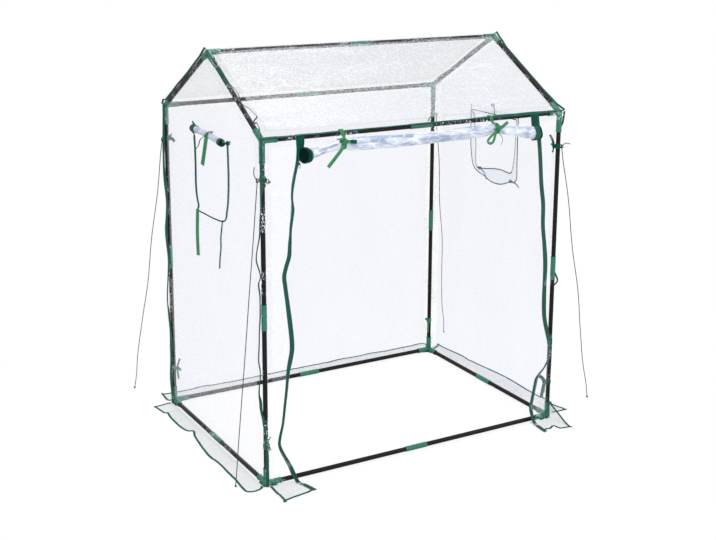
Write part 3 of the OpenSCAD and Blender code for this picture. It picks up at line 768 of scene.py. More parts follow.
rolled_film, shader, spot, uv = finish("rolled_film", Roughness=0.2, IOR=1.46)
along_roll = spot.scaled(0.35, 1, 1)
streaks = along_roll.noise(26, 4, 1.0)
facets = along_roll.node("TexVoronoi", {"feature": "DISTANCE_TO_EDGE"}, {"Vector": along_roll, "Scale": 46}, 0)
crackle = 1 - facets.between(0.0, 0.09)
# painted highlight and shade: crumple lines and light streaks painted near white, dark streaks painted blue-grey
painted_highlight_and_shade = (streaks.between(0.34, 0.62) * 0.8 + crackle * 0.3).math("MINIMUM", 1)
feed(shader["Base Color"], painted_highlight_and_shade.colour((0.30, 0.37, 0.50), (0.86, 0.9, 0.96)))
feed(shader["Normal"], (streaks * 2 + crackle * 0.5).bump(0.55, 0.004))
feed(shader["Alpha"], crackle * 0.06 + 0.92)

binding_green, shader, spot, uv = finish("binding_green", Roughness=0.72, Specular_IOR_Level=0.22)
wide_way, long_way = (uv.node("SeparateXYZ", None, {"Vector": uv}, i) for i in (0, 1))
weave = (wide_way * (36 * math.tau)).math("SINE") * (long_way * (math.tau / 0.0013)).math("SINE")
to_edge = ((wide_way * 2).math("FRACT") - 0.5).math("ABSOLUTE") * 2
stitches = (long_way * (math.tau / 0.0045)).math("SINE").between(-0.2, 0.1)
sewn = (1 - (to_edge - 0.55).math("ABSOLUTE").between(0.03, 0.07)) * stitches
dyed = spot.noise(22, 3)
cloth = dyed.colour((0.005, 0.050, 0.033), (0.011, 0.104, 0.067))
feed(shader["Base Color"], (sewn * 0.5).colour(cloth, (0.035, 0.18, 0.12)))
feed(shader["Normal"], (weave * 0.5 + sewn).bump(0.35, 0.0005))


def all_along(value, last):
    """A band's value at each of its places: one for all of them, a list, or a function of the share."""
    if callable(value):
        return [value(i / last) for i in range(last + 1)]
    return value if isinstance(value, list) else [value] * (last + 1)


def strap(bm, line, facing, width, thick, around=8):
    """A flat band along a line. facing is the way its flat side looks."""
    last = len(line) - 1
    ways, widths = all_along(facing, last), all_along(width, last)

    def place(u, v):
        i = round(v * last)
        along = (line[min(i + 1, last)] - line[max(i - 1, 0)]).normalized()
        out = Vector(ways[i])
        out = (out - out.dot(along) * along).normalized()
        c, s = math.cos(math.tau * u), math.sin(math.tau * u)
        a = math.copysign(abs(c) ** 0.35, c) * widths[i] / 2
        b = math.copysign(abs(s) ** 0.6, s) * thick / 2
        return line[i] + a * along.cross(out) + b * out

    return skin(bm, place, around, last, (1, length_of(line)), closed=True)


tape_thick = 0.0022
roll_core, roll_turns = 0.005, 14
roll_y = middle("door_roll").y - footing.y
roll_z = eave_z - 0.033
door_end = half_w - 0.165
door_ties = {-1: -0.390, 1: 0.330}
# the roll is pinched by its ribbons: place along it, radius
roll_swell = [
    (-0.535, 0.027), (-0.51, 0.021), (-0.47, 0.0165), (-0.43, 0.0175), (-0.4, 0.020), (-0.38, 0.0205),
    (-0.33, 0.0265), (-0.25, 0.0265), (-0.1, 0.0245), (0.1, 0.0245), (0.2, 0.026), (0.28, 0.0255), (0.32, 0.0205),
    (0.34, 0.020), (0.39, 0.0195), (0.44, 0.023), (0.5, 0.0265), (0.535, 0.029)
]


def door_hang(x):
    """How far the roll's middle hangs below its height at the ribbons, at a place along it."""
    if door_ties[-1] < x < door_ties[1]:
        return -0.010 * (1 - ((x + 0.03) / 0.36) ** 2)
    side = 1 if x > 0 else -1
    drop = 0.036 if side > 0 else 0.029
    return -drop * (side * x - side * door_ties[side]) / (door_end - side * door_ties[side])


def wound(turn, x, outer, core, turns, seed, pinches=(), grow=1.0):
    """A place on a rolled sheet, as y and z from the roll's middle; turn runs from 0, outside, to 1."""
    angle = math.tau * turns * turn
    radius = outer - (outer - core) * turn
    c, s = math.cos(angle), math.sin(angle)
    dents = noise.noise(Vector((c * 1.3, s * 1.3, x * 7 + seed))) * 0.10
    dents += (0.5 - abs(noise.noise(Vector((c * 2.6, s * 2.6, x * 24 + seed))))) * 0.09
    radius *= grow * (1 + dents * min(1, 30 * outer))
    for pinch in pinches:
        radius *= 1 - 0.17 * math.exp(-((x - pinch) / 0.024) ** 2)
    return radius * c, -radius * s


end_skew = {-1: 0.33, 1: 0.1}


def roll_place(u, v):
    """A place on the rolled door: u runs along the roll, v inwards through its turns."""
    x = -door_end + 0.004 + (2 * door_end - 0.002) * u
    y, z = wound(v, x, stepped(roll_swell, x)[0] - 0.0005, roll_core, roll_turns, 3)
    return at(x - end_skew[-1] * y * max(0.0, 1 - u * 14), roll_y + y, roll_z + door_hang(x) + z)


bm = skin(bmesh.new(), roll_place, 120, 26 * roll_turns)
bmesh.ops.recalc_face_normals(bm, faces=bm.faces)
door = piece("door_roll_film", bm, rolled_film, ["door_roll"])

# the zip tape at each end is wound up looser, each turn a little further in than the one outside it,
# and its last turns lie side by side round the roll
dark_tape, shader, spot, uv = finish("dark_tape", Roughness=0.8, Specular_IOR_Level=0.12)
feed(shader["Base Color"], spot.noise(24, 3).colour((0.001, 0.045, 0.030), (0.003, 0.085, 0.055)))
feed(shader["Normal"], spot.noise(900, 2).bump(0.3, 0.0004))
# near-black tape for the inner turns at the roll's ends: painted shade in its hollow ends
painted_shade_tape, shader, spot, uv = finish("painted_shade_tape", Roughness=0.9, Specular_IOR_Level=0.05)
feed(shader["Base Color"], spot.noise(60, 3).colour((0.0003, 0.004, 0.004), (0.0015, 0.024, 0.018)))
spiral_turns, steps_a_turn = 9, 26
tape_out = 0.0305


def roll_end(bm, side, turns, starts, sunk, core, width, thick):
    """Tape wound round the roll's end, which goes in by sunk from its outer turn to its core."""
    line, ways = [], []
    for i in range(round(steps_a_turn * turns) + 1):
        share = i / (steps_a_turn * spiral_turns)
        y, z = wound(share, side * door_end, tape_out, core, spiral_turns, 3)
        x = side * (starts - sunk * share + end_skew[side] * y) + side * 0.001 * math.sin(i * 0.7)
        line.append(at(x, roll_y + y, roll_z + door_hang(side * door_end) + z))
        ways.append(Vector((0, y, z)))
    strap(bm, line, ways, width, thick, 6)


for side, name, starts, sunk, rims, apart in (
    (-1, "left", door_end + 0.0095, 0.008, 2, 0.0065), (1, "right", door_end + 0.018, 0.012, 4, 0.008)
):
    rim_bm, deep_bm = bmesh.new(), bmesh.new()
    # the inner turns take the near-black tape as painted shade
    roll_end(deep_bm, side, spiral_turns, starts, sunk, 0.002, 0.006, 0.0038)
    for rim in range(rims):
        roll_end(rim_bm, side, 1.5, starts - apart * rim, sunk, 0.008, 0.0096, 0.0014)
    piece("door_roll_rim_" + name, rim_bm, binding_green)
    piece("door_roll_core_" + name, deep_bm, painted_shade_tape)


# above the roll the same sheet is left flat, behind the eave's binding
def header_place(u, v):
    left, right = (edge_spot(side, eave_z * 0.99)[0] for side in (-1, 1))
    x = left + (right - left) * u
    low = roll_z + door_hang(max(-door_end, min(door_end, x)))
    z = low + (strip_top - low) * v
    return at(x, -wall_y - max(0.0, slack(x, z, 15, 2, 2) + 0.001) * v * (1 - v) * 4, z)


bm = skin(bmesh.new(), header_place, 90, 6)
mark_touch(bm, lambda spot: beside(spot.z - eave_z))
header = piece("door_top", bm, front_film, ["door_header"])


# ---------------------------------------------------------------- gable windows
# Each gable has a window under a film flap. The left flap is rolled up and tied above its window;
# the right one hangs closed, bound with green tape all round, and a little larger than its hole.

pane_r, pane_turns = 0.0138, 6
pane_x, pane_z = -(half_w + 0.0136 + 0.0008 + pane_r), window_z + window_h + 0.036
pane_y = window_y - 0.011
pane_half = window_w * 0.8 / 2
pane_tie = window_y - 0.031


def pane_lift(y):
    """The roll hangs lower at its front end, and bends down a little at both."""
    share = (y - pane_y) / pane_half
    return 0.0075 * share - 0.003 * share * share


def pane_place(u, v):
    y = pane_y + pane_half * (2 * u - 1)
    across, z = wound(v, y, pane_r, 0.004, pane_turns, 8, (pane_tie,))
    return at(pane_x + across, y, pane_z + z + pane_lift(y))


bm = skin(bmesh.new(), pane_place, 56, 22 * pane_turns)
bmesh.ops.recalc_face_normals(bm, faces=bm.faces)
pane_roll = piece("window_roll_film", bm, rolled_film, ["window_roll_left"])

# its tape is wound up with it, and a turned-up end of tape stands over its back end
bm = bmesh.new()
for end, spans in ((-1, (0.0, 0.011)), (1, (0.0, 0.009, 0.018, 0.026))):
    for span in spans:
        y = pane_y + end * (pane_half - 0.002 - span)
        turns = 1.4 if span else pane_turns
        line, ways = [], []
        for i in range(round(22 * turns) + 1):
            share = i / (22 * pane_turns)
            across, z = wound(share, y, pane_r, 0.003, pane_turns, 8, grow=1.16)
            line.append(at(pane_x + across, y + end * 0.008 * (0.5 - share), pane_z + z + pane_lift(y)))
            ways.append(Vector((across, 0, z)))
        strap(bm, line, ways, 0.012, 0.0012, 6)
y = pane_y + pane_half
strap(bm, smooth([
    at(pane_x, y - 0.012, pane_z + pane_lift(y) + pane_r), at(pane_x - 0.002, y - 0.004, pane_z + pane_r + 0.014),
    at(pane_x - 0.002, y + 0.002, pane_z + pane_r + 0.020)
], 0.004), (-1, -0.5, 0), lambda v: 0.014 - 0.009 * v, 0.003)
piece("window_roll_tapes", bm, binding_green)


def flap_place(y, z):
    """Where the closed window's flap hangs, a little off the gable and further off towards its foot."""
    share = max(0.0, (window_z + window_h * 1.08 - z) / (window_h * 1.16))
    out = 0.0016 + 0.006 * share ** 2 + max(0.0, slack(y, z, 21, 2.2, 1.2)) * share
    return at(wall_x + 0.003 + out, y, z), -milk(1, y, z)


bm = hang(cut_sheet(flap_outline, 0.014), flap_place)
flap = piece("window_flap", bm, wall_film, ["window_flap_right"])
flat_area(flap_outline)

# tape binds the flap's edge, and each hole's, where it turns on edge down the sides
bm = bmesh.new()
hem = [flap_place(y, z)[0] + Vector((0.0006, 0, 0)) for y, z in flap_outline]
strap(bm, smooth(hem, 0.008), (1, 0, 0), 0.0055, 0.0016)
for side, width in ((-1, 0.0065), (1, 0.0045)):
    hole = [gable_place(side, y, z)[0] + Vector((side * 0.0004, 0, 0)) for y, z in window_holes[side]]
    hole = smooth(hole + hole[:1], 0.008)
    steep = [abs((b - a).normalized().z) ** 2 for a, b in zip(hole, hole[1:] + hole[1:2])]
    ways = [Vector((side, -0.9 * lean, 0)) for lean in steep]
    strap(bm, hole, ways, [width * (1 + 0.4 * lean) for lean in steep], 0.0020)
piece("window_bindings", bm, binding_green)


# ---------------------------------------------------------------- ground skirts
# The cover's film runs out over the ground on all sides, to be weighed down with soil. Its hems are
# bound with narrow green tape, and lie in waves.

skirt_w = 0.09
# hems as shares of the frame's half side, or of a strip's width, along the wall, and of skirt_w out
# from it; a point given twice is a sharp corner
hem_left = [
    (-0.99, 0.08), (-1.03, 0.26), (-1.04, 0.56), (-1.02, 0.84), (-0.94, 0.9), (-0.5, 0.8), (-0.23, 0.88),
    (0.15, 0.65), (0.28, 0.47), (0.33, 0.74), (0.61, 0.85), (0.79, 0.73), (0.8, 0.86), (0.98, 1.0), (0.98, 1.0),
    (1, 0.1)
]
hem_right = [
    (-0.94, 0.5), (-0.95, 1.3), (-0.95, 1.3), (-0.79, 1.05), (-0.74, 1.2), (-0.4, 1.22), (0.01, 1.32),
    (0.58, 1.07), (1.1, 0.96), (1.1, 0.96), (1.02, 0.3)
]
hem_back = [
    (-0.99, 0.2), (-1.03, 0.32), (-1.02, 1.28), (-1.02, 1.28), (-0.97, 1.12), (-0.5, 1.04), (0, 1.1), (0.5, 1.02),
    (0.98, 1.08), (1.05, 0.68), (1.05, 0.68), (1.0, 0.1)
]
flap_left = [
    (0.08, 0.0), (0.05, 1.57), (0.05, 1.57), (0.79, 1.31), (0.82, 1.24), (0.99, 1.27), (0.99, 1.27), (0.82, 0.0)
]
flap_right = [
    (-0.03, 0.0), (-0.16, 1.4), (-0.16, 1.4), (0.1, 1.34), (0.18, 1.25), (0.22, 0.92), (0.43, 1.1), (0.54, 1.04),
    (0.73, 1.28), (0.73, 1.28), (0.64, 0.0)
]
skirt_hems = {
    "left": [(-wall_x - q * skirt_w, p * half_d) for p, q in hem_left],
    "right": [(wall_x + q * skirt_w, p * half_d) for p, q in hem_right],
    "back": [(p * half_w, wall_y + q * skirt_w) for p, q in hem_back],
    "front_left": [(-half_w + p * strip_w, -wall_y - q * skirt_w) for p, q in flap_left],
    "front_right": [(half_w - p * strip_w, -wall_y - q * skirt_w) for p, q in flap_right],
}


def wall_foot(x, y, name):
    """Where the film leaves the wall for the skirt's point at x, y."""
    if name in ("left", "right"):
        return math.copysign(wall_x, x), max(-wall_y, min(wall_y, y))
    if name == "back":
        return max(-wall_x, min(wall_x, x)), wall_y
    if name == "front_left":
        near, far = half_w - 0.005, half_w - 0.8 * strip_w
    else:
        near, far = half_w, half_w - 0.7 * strip_w
    return math.copysign(max(far, min(near, abs(x))), x), -wall_y


def comes_near(line, spot, gap):
    """The first of a line's places that is near a spot on the ground."""
    return next(i for i, p in enumerate(line) if (p - Vector((*spot, 0))).length < gap)


hem_bm = bmesh.new()
for name, hem in skirt_hems.items():
    line = smooth([(x, y, 0) for x, y in hem], 0.008)
    last = len(line) - 1
    corner_at = comes_near(line, hem[1], 0.008)

    def skirt_place(u, v):
        far = line[round(v * last)]
        foot_x, foot_y = wall_foot(far.x, far.y, name)
        x, y = foot_x + (far.x - foot_x) * u, foot_y + (far.y - foot_y) * u
        waves = max(0.0, noise.noise(Vector((x * 9, y * 9, 4)))) * 0.016
        waves += max(0.0, noise.noise(Vector((x * 26, y * 26, 1)))) * 0.003
        # the right front flap is drawn up to its post
        drawn_up = 0.074 * max(0.0, 1 - v * last / corner_at) ** 1.3 if name == "front_right" else 0
        return at(x, y, 0.0008 + waves * math.sin(math.pi * min(1, u * 0.75)) + 0.0015 * (1 - u) + drawn_up)

    bm = skin(bmesh.new(), skirt_place, 8, last)
    bmesh.ops.recalc_face_normals(bm, faces=bm.faces)
    if sum(f.normal.z for f in bm.faces) < 0:
        bmesh.ops.reverse_faces(bm, faces=bm.faces)
    mark_touch(bm, lambda spot: 0.0)
    piece("skirt_film_" + name, bm, skirt_film)
    outline = [(p.x, p.y) for p in line]
    outline += [wall_foot(x, y, name) for x, y in reversed(outline[:: max(1, last // 12)])]
    wide, long = (max(p[i] for p in outline) - min(p[i] for p in outline) for i in (0, 1))
    flat_area(outline)
    bound = []
    for i in range(comes_near(line, hem[-2], 0.006) if name.startswith("front") else last + 1):
        foot_x, foot_y = wall_foot(line[i].x, line[i].y, name)
        inward = Vector((foot_x - line[i].x, foot_y - line[i].y, 0)).normalized()
        bound.append(skirt_place(1.0, i / last) + inward * 0.003 + Vector((0, 0, 0.0006)))
    strap(
        hem_bm, bound, (0, 0, 1), lambda v: 0.010 + 0.002 * noise.noise(Vector((v * 12, last, 2))), tape_thick
    )
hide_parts("skirt_left")
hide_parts("skirt_right")
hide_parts("skirt_back")
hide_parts("skirt_front")
piece("skirt_hems", hem_bm, binding_green, ["edge_bindings"])


# ---------------------------------------------------------------- bound seams
# Wherever two panels of film meet they are sewn together in a folded green tape, which stands off as
# a narrow fin: down the four corners, up the rakes, and along the front eave.

# the fold of each corner's tape: height, along x, along y, the way its face looks, its width
seam_fold = {
    (-1, -1): [
        (0, 0.006, -0.001, 0.1, -1, 0.014), (0.35, 0.006, -0.001, 0.1, -1, 0.013), (0.39, 0, 0, 0.6, -0.8, 0.009),
        (1.16, 0, 0, 0.6, -0.8, 0.009), (1.21, 0.004, -0.001, 0, -1, 0.010), (1.4, 0.004, -0.001, 0, -1, 0.010)
    ],
    (-1, 1): [
        (0, -0.0024, -0.026, -1, -0.25, 0.016), (0.44, -0.0024, -0.026, -1, -0.25, 0.016),
        (0.49, -0.002, -0.016, -1, -0.1, 0.010), (0.64, -0.002, -0.014, -1, -0.1, 0.010),
        (0.69, -0.0024, -0.0277, -1, -0.25, 0.0177), (1.4, -0.0024, -0.0277, -1, -0.25, 0.0177)
    ],
    (1, -1): [
        (0, -0.004, -0.001, 0.87, -0.5, 0.006), (0.6, -0.004, -0.001, 0.87, -0.5, 0.006),
        (0.65, 0.002, 0, 0.6, 0.8, 0.008), (1.4, 0.002, 0, 0.6, 0.8, 0.008)
    ],
    (1, 1): [(0, 0.002, 0.002, -0.7, 0.7, 0.009), (1.4, 0.002, 0.002, -0.7, 0.7, 0.009)],
}
# how wide the eave's binding is, by the share of its length from the left
eave_fold = [
    (0.0, 0.0125), (0.28, 0.0125), (0.34, 0.008), (0.66, 0.008), (0.7, 0.014), (0.93, 0.014), (0.97, 0.009),
    (1.0, 0.009)
]


def bind(bm, count, row):
    """Tape along a seam; at a share of its way, row gives its place, the way it faces and its width."""
    places, ways, widths = zip(*(row(i / count) for i in range(count + 1)))
    strap(bm, places, list(ways), list(widths), tape_thick)


bm = bmesh.new()
for side in (-1, 1):
    for end in (-1, 1):
        twist = 5 * side + end
        fin = 0.006 if (side, end) == (-1, -1) else 0.009

        def down_corner(share):
            z = 0.004 + (roof_z(wall_y) - 0.006) * share
            x, y = corner_seam(side, end, z)
            along_x, along_y, face_x, face_y, width = stepped(seam_fold[side, end], z)
            turn = 0.35 * noise.noise(Vector((z * 9, twist, 0)))
            way = Vector((face_x - turn * face_y, face_y + turn * face_x, 0))
            return at(x + along_x, y + along_y, z), way, width + 0.002 * noise.noise(Vector((z * 12, twist, 3)))

        def up_rake(share):
            """It stands off the edge as a narrow fin."""
            y = end * wall_y * (1 - share)
            up, over = rake_at(side, y)
            up += fin * 0.35
            sway = noise.noise(Vector((y * 17, twist, 9)))
            x = side * (wall_x - over + fin * 0.3 + 0.001 * sway)
            out_y = end * up * math.sin(pitch) if share < 1 else 0
            way = Vector((-side * (0.7 + 0.3 * sway), 0.35 * end, 0.61))
            return at(x, y + out_y, roof_z(y) + up * math.cos(pitch)), way, fin

        bind(bm, 140, down_corner)
        bind(bm, 140, up_rake)


def over_rafter(share):
    """Near the ridge the front left rafter is covered by the tape that is turned over it."""
    y = -0.012 - 0.21 * share
    rafter_top = roof_z(y) - stand_off / math.cos(pitch)
    way = Vector((-0.8, -0.35 - 0.3 * share, 0.45 + 0.4 * share))
    width = 0.019 - 0.010 * share + 0.002 * noise.noise(Vector((y * 40, 2, 7)))
    return at(-half_w - 0.0108 + 0.007 * share, y, rafter_top + 0.004 + 0.006 * share), way, width


def along_eave(share):
    x = wall_x * (2 * share - 1)
    ripple = 0.001 * noise.noise(Vector((x * 14, 3, 8)))
    lean = 0.3 + 0.4 * noise.noise(Vector((x * 5, 1, 4))) + 0.9 * math.exp(-((x - 0.45) / 0.17) ** 4)
    place = at(x, -wall_y + 0.0015 + ripple, roof_z(wall_y) + 0.0018 + ripple)
    return place, Vector((0, -lean, 1)), stepped(eave_fold, share)[0]


bind(bm, 70, over_rafter)
bind(bm, 180, along_eave)
piece("bound_seams", bm, binding_green, ["seam_bindings"])


# ---------------------------------------------------------------- door zips
# A coil zip runs down each free edge beside the doorway on a wide green tape, out over the ground.
# A patch sewn over its top end takes the pull, and the slider with its wire loop hangs below it.

zip_dark, shader, spot, uv = finish("zip_dark", Roughness=0.35, Metallic=0.6)
worn = spot.noise(300, 3)
feed(shader["Base Color"], worn.colour((0.03, 0.03, 0.032), (0.16, 0.16, 0.165)))
coil_green, shader, spot, uv = finish("coil_green", Roughness=0.4)
teeth = (uv.node("SeparateXYZ", None, {"Vector": uv}, 1) * (math.tau / 0.0024)).math("SINE")
# the coil is painted darker in the gaps between its teeth: painted shade
feed(shader["Base Color"], teeth.between(-0.6, 0.6).colour((0.003, 0.03, 0.02), (0.012, 0.09, 0.06)))
feed(shader["Normal"], teeth.bump(0.6, 0.0008))

zip_w = 0.0185
coil_thick = 0.0024
# the tape folds and twists on its way down: height, the width that shows
zip_fold = {
    -1: [
        (0, 0.0185), (0.04, 0.0185), (0.087, 0.015), (0.13, 0.0135), (0.184, 0.011), (0.27, 0.0095),
        (0.38, 0.0105), (0.435, 0.0115), (0.474, 0.0145), (0.51, 0.0185), (0.66, 0.0185), (0.78, 0.016),
        (0.93, 0.0165), (0.98, 0.014), (1.03, 0.0095), (1.077, 0.0115), (1.115, 0.014), (1.155, 0.0078),
        (1.184, 0.0088), (1.223, 0.012), (1.3, 0.012), (1.4, 0.018)
    ],
    1: [
        (0, 0.0165), (0.13, 0.0165), (0.2, 0.0175), (0.225, 0.012), (0.25, 0.0075), (0.29, 0.009), (0.32, 0.012),
        (0.37, 0.019), (0.45, 0.020), (0.56, 0.022), (0.65, 0.020), (0.74, 0.022), (0.87, 0.019), (1.0, 0.020),
        (1.2, 0.019), (1.4, 0.020)
    ],
}
tape_bm, coil_bm, slide_bm, patch_bm = (bmesh.new() for i in range(4))
patch_h = 0.088
patch_y = -wall_y - 0.0032
for side, flap_name, patch_inset in ((-1, "front_left", 0.1515), (1, "front_right", 0.1455)):
    # down the doorway's edge, then out along the hem of the front flap
    corner, heel = (Vector((*spot, 0.0032)) for spot in skirt_hems[flap_name][-2:])
    heights = [eave_z * (1 - i / 110) for i in range(0, 111, 3)]
    upright = [Vector((*edge_spot(side, z), z)) for z in heights if z > 0.03]
    ground = [heel + Vector((0, -0.018, 0.0003)), heel.lerp(corner, 0.5), corner]
    line = smooth(upright + ground, 0.01)
    turn_at = 1 - sum(1 for p in line if p.z < 0.02) / len(line)
    widths = [stepped(zip_fold[side], p.z)[0] for p in line]

    def zip_facing(share):
        """The tape faces out of the doorway, and up where it lies on the ground."""
        lie = max(0.0, min(1.0, (share - turn_at + 0.02) / 0.03))
        return Vector((0, lie - 1, lie))

    inner = Vector((side * zip_w / 2 * 0.9, -0.0012, 0))
    strap(tape_bm, [at(*(p + inner)) for p in line], zip_facing, widths, 0.0014)
    rod(coil_bm, [
        at(*(p + Vector((side * (0.009 - width / 2), -0.0014, 0)))) for p, width in zip(line, widths)
    ], coil_thick, 6)
    # the patch, wrapped over the tape's top end
    patch_x = side * (half_w - patch_inset)
    rows = smooth([
        at(patch_x, patch_y + 0.001, roof_z(wall_y) - 0.002), at(patch_x, patch_y - 0.0012, eave_z - 0.02),
        at(patch_x + side * 0.002, patch_y - 0.0010, eave_z - 0.05),
        at(patch_x + side * 0.009, patch_y - 0.0010, eave_z - patch_h),
    ], 0.008)
    strap(patch_bm, rows, (0, -1, 0), lambda v: 0.0365 - 0.003 * v - 0.017 * max(0.0, v - 0.25), 0.0020)
    # slider body, neck and wire loop
    z = eave_z * 0.997 - patch_h - 0.006
    x, y = edge_spot(side, z)
    y -= 0.006
    body = bmesh.ops.create_cube(slide_bm, size=1)["verts"]
    for v in body:
        narrow = 0.7 if v.co.z < 0 else 1.0
        v.co = at(x + v.co.x * 0.008 * narrow, y + v.co.y * 0.004, z + v.co.z * 0.012)
    bmesh.ops.bevel(
        slide_bm, geom=once(e for v in body for e in v.link_edges), affect="EDGES", offset=0.0012, segments=2,
        profile=0.5, material=-1
    )
    loop = []
    for i in range(25):
        t = math.tau * i / 24
        wide = 0.0036 * (1 + 0.25 * math.cos(t))
        loop.append(at(x + wide * math.sin(t), y - 0.003, z - 0.008 + 0.009 * math.cos(t)))
    rod(slide_bm, loop, 0.0009, 6)
piece("zip_tape_bands", tape_bm, binding_green, ["zip_tapes"])
piece("zip_patches", patch_bm, dark_tape)
piece("zip_coils", coil_bm, coil_green)
piece("zip_sliders", slide_bm, zip_dark)


# ---------------------------------------------------------------- ribbons
# Woven green ribbons tie the cover to the posts and hold the rolls. Each is wound round, knotted, and
# left with loose tails; spare ones hang at the foot of the open window.

ribbon_green, shader, spot, uv = finish("ribbon_green", Roughness=0.65, Specular_IOR_Level=0.35)
wide_way, long_way = (uv.node("SeparateXYZ", None, {"Vector": uv}, i) for i in (0, 1))
ribs = (long_way * (math.tau / 0.0011)).math("SINE")
threads = (wide_way * (24 * math.tau)).math("SINE")
dyed = spot.noise(30, 3)
cloth = dyed.colour((0.018, 0.13, 0.055), (0.045, 0.235, 0.10))
selvedge = ((wide_way * 2).math("FRACT") - 0.5).math("ABSOLUTE") * 2
feed(shader["Base Color"], (selvedge.between(0.8, 0.95) * 0.5).colour(cloth, (0.012, 0.10, 0.045)))
feed(shader["Normal"], (ribs * threads * 0.4 + ribs * 0.4).bump(0.35, 0.0005))

# the ribbons of the door, the windows and the lower ties are bright; the upper ties are darker tape
ribbon_bm, tie_bm = bmesh.new(), bmesh.new()


def tail(start, reaches, facing, width, thick=0.0011, into=ribbon_bm):
    """A loose end of ribbon, given by reaches from a place by its knot."""
    points = [at(*start) + Vector(reach) for reach in reaches]
    strap(into, smooth(points, 0.006), facing, width, thick)


def knot(spot, size, seed, into=ribbon_bm):
    """A pulled-tight knot: a flat band wound over itself."""
    line = []
    for i in range(29):
        a = math.tau * 2 * i / 28
        b = math.tau * 3 * i / 28 + seed
        wide = 0.75 + 0.35 * math.cos(b)
        line.append(at(*spot) + size * Vector((wide * math.cos(a), wide * math.sin(a), 0.8 * math.sin(b))))
    rod(into, line, size * 0.42, 8)


def ring_round(spot, radius, axis, width, into=ribbon_bm):
    """Ribbon wound once round a tube or roll that runs along the given axis. It ends a hair outside its
    start, so that the two stay apart."""
    axis = Vector(axis)
    a = axis.orthogonal().normalized()
    b = axis.cross(a)
    thick, hair = 0.0014, 0.00005
    line, ways = [], []
    for i in range(33):
        t = math.tau * i / 32
        ways.append(math.cos(t) * a + math.sin(t) * b)
        line.append(at(*spot) + ways[-1] * (radius + thick / 2 + hair * i / 32) + axis * 0.0008 * math.sin(2 * t))
    strap(into, line, ways, width, thick)


tube_r = 0.0095
lower_tie = 0.1666
tie_in = 0.0115
# each post tie's loose ends, as reaches from its knot, with the width that shows
loose_ends = {
    (-1, -1, upper_tie): [((0.024, 0.002, -0.022), 0.016), ((0.010, 0.012, -0.036), 0.010)],
    (-1, -1, lower_tie): [
        ((0.014, -0.004, 0.032), 0.013), ((-0.006, 0.014, -0.044), 0.012), ((0.016, 0.006, -0.03), 0.010)
    ],
    (1, -1, upper_tie): [
        ((-0.022, 0.006, 0.050), 0.010), ((-0.014, 0.004, 0.006), 0.010), ((-0.002, 0.006, -0.028), 0.009)
    ],
    (1, -1, lower_tie): [
        ((-0.034, 0.0, 0.032), 0.016), ((-0.014, 0.002, -0.075), 0.015), ((-0.004, 0.002, -0.05), 0.012)
    ],
    (-1, 1, upper_tie): [
        ((0.018, -0.004, -0.016), 0.012), ((0.006, -0.006, 0.018), 0.009), ((-0.012, -0.014, 0.012), 0.009)
    ],
    (-1, 1, lower_tie): [
        ((0.014, -0.006, 0.046), 0.019), ((0.014, -0.006, -0.012), 0.011), ((0.004, -0.006, -0.05), 0.009)
    ],
    (1, 1, upper_tie): [
        ((-0.028, -0.006, -0.030), 0.012), ((-0.008, -0.018, 0.022), 0.011), ((-0.004, -0.012, -0.048), 0.010)
    ],
    (1, 1, lower_tie): [((-0.024, -0.006, 0.016), 0.013), ((-0.010, -0.012, -0.056), 0.011)],
}
for (side, end, height), ends in loose_ends.items():
    cloth = tie_bm if height == upper_tie or (side, end) == (1, -1) else ribbon_bm
    ring_round((side * half_w, end * half_d, height), tube_r, (0, 0, 1), 0.013, cloth)
    ring_round((side * half_w, end * half_d, height + 0.007), tube_r + 0.0006, (0.12, 0.1, 0.99), 0.012, cloth)
    start = side * (half_w - tie_in), end * (half_d - tie_in), height + 0.002
    knot(start, 0.0072, side + 2 * end + height, cloth)
    for reach, width in ends:
        reach = Vector(reach)
        lift = Vector((0, 0, 0.007 if reach.z > -0.02 else 0.003))
        reaches = [(0, 0, 0), reach * 0.35 + lift, reach * 0.75 + lift * 0.8, reach]
        tail(start, reaches, reach.cross(Vector((0.3, -0.2, 1))), width, into=cloth)

# the door's ribbons go over the eave rail and round the roll
for side, width, knot_up in ((-1, 0.019, 0.016), (1, 0.016, 0.006)):
    x = door_ties[side]
    ring_round((x, roll_y, roll_z), 0.0205, (1, 0, 0), width)
    ring_round((x + 0.005, roll_y, roll_z), 0.0212, (0.98, 0.05, 0.14), width * 0.9)
    aside = 0.022 if side < 0 else 0
    tail((x + aside, -wall_y, eave_z), [
        (0, stand_off + 0.012, -0.012), (0, stand_off, 0.0165), (0, -0.006, 0.007), (0, -0.012, -0.008),
        (0.001 - aside, roll_y + wall_y - 0.014, roll_z - eave_z + 0.019),
    ], lambda v: Vector((0, -math.sin(1.2 * v + 0.3), math.cos(1.8 * v))), width)
    knot((x - 0.002, roll_y - 0.0225, roll_z + knot_up), 0.0105, side)
roll_front = roll_y - 0.028
left_tie = door_ties[-1], roll_front, roll_z
tail(left_tie, [
    (0, 0.006, 0.012), (-0.012, -0.006, -0.008), (-0.044, -0.010, -0.042), (-0.076, -0.010, -0.076)
], (-0.2, -1, 0.2), 0.0135)
tail(left_tie, [(0, 0.006, 0.014), (0.022, -0.004, 0.013), (0.040, -0.004, 0.010)], (0, -1, 0.35), 0.014)
tail(left_tie, [(0.024, -0.006, 0.013), (0.050, -0.006, 0.010)], (0, -1, 0.35), 0.015, into=tie_bm)
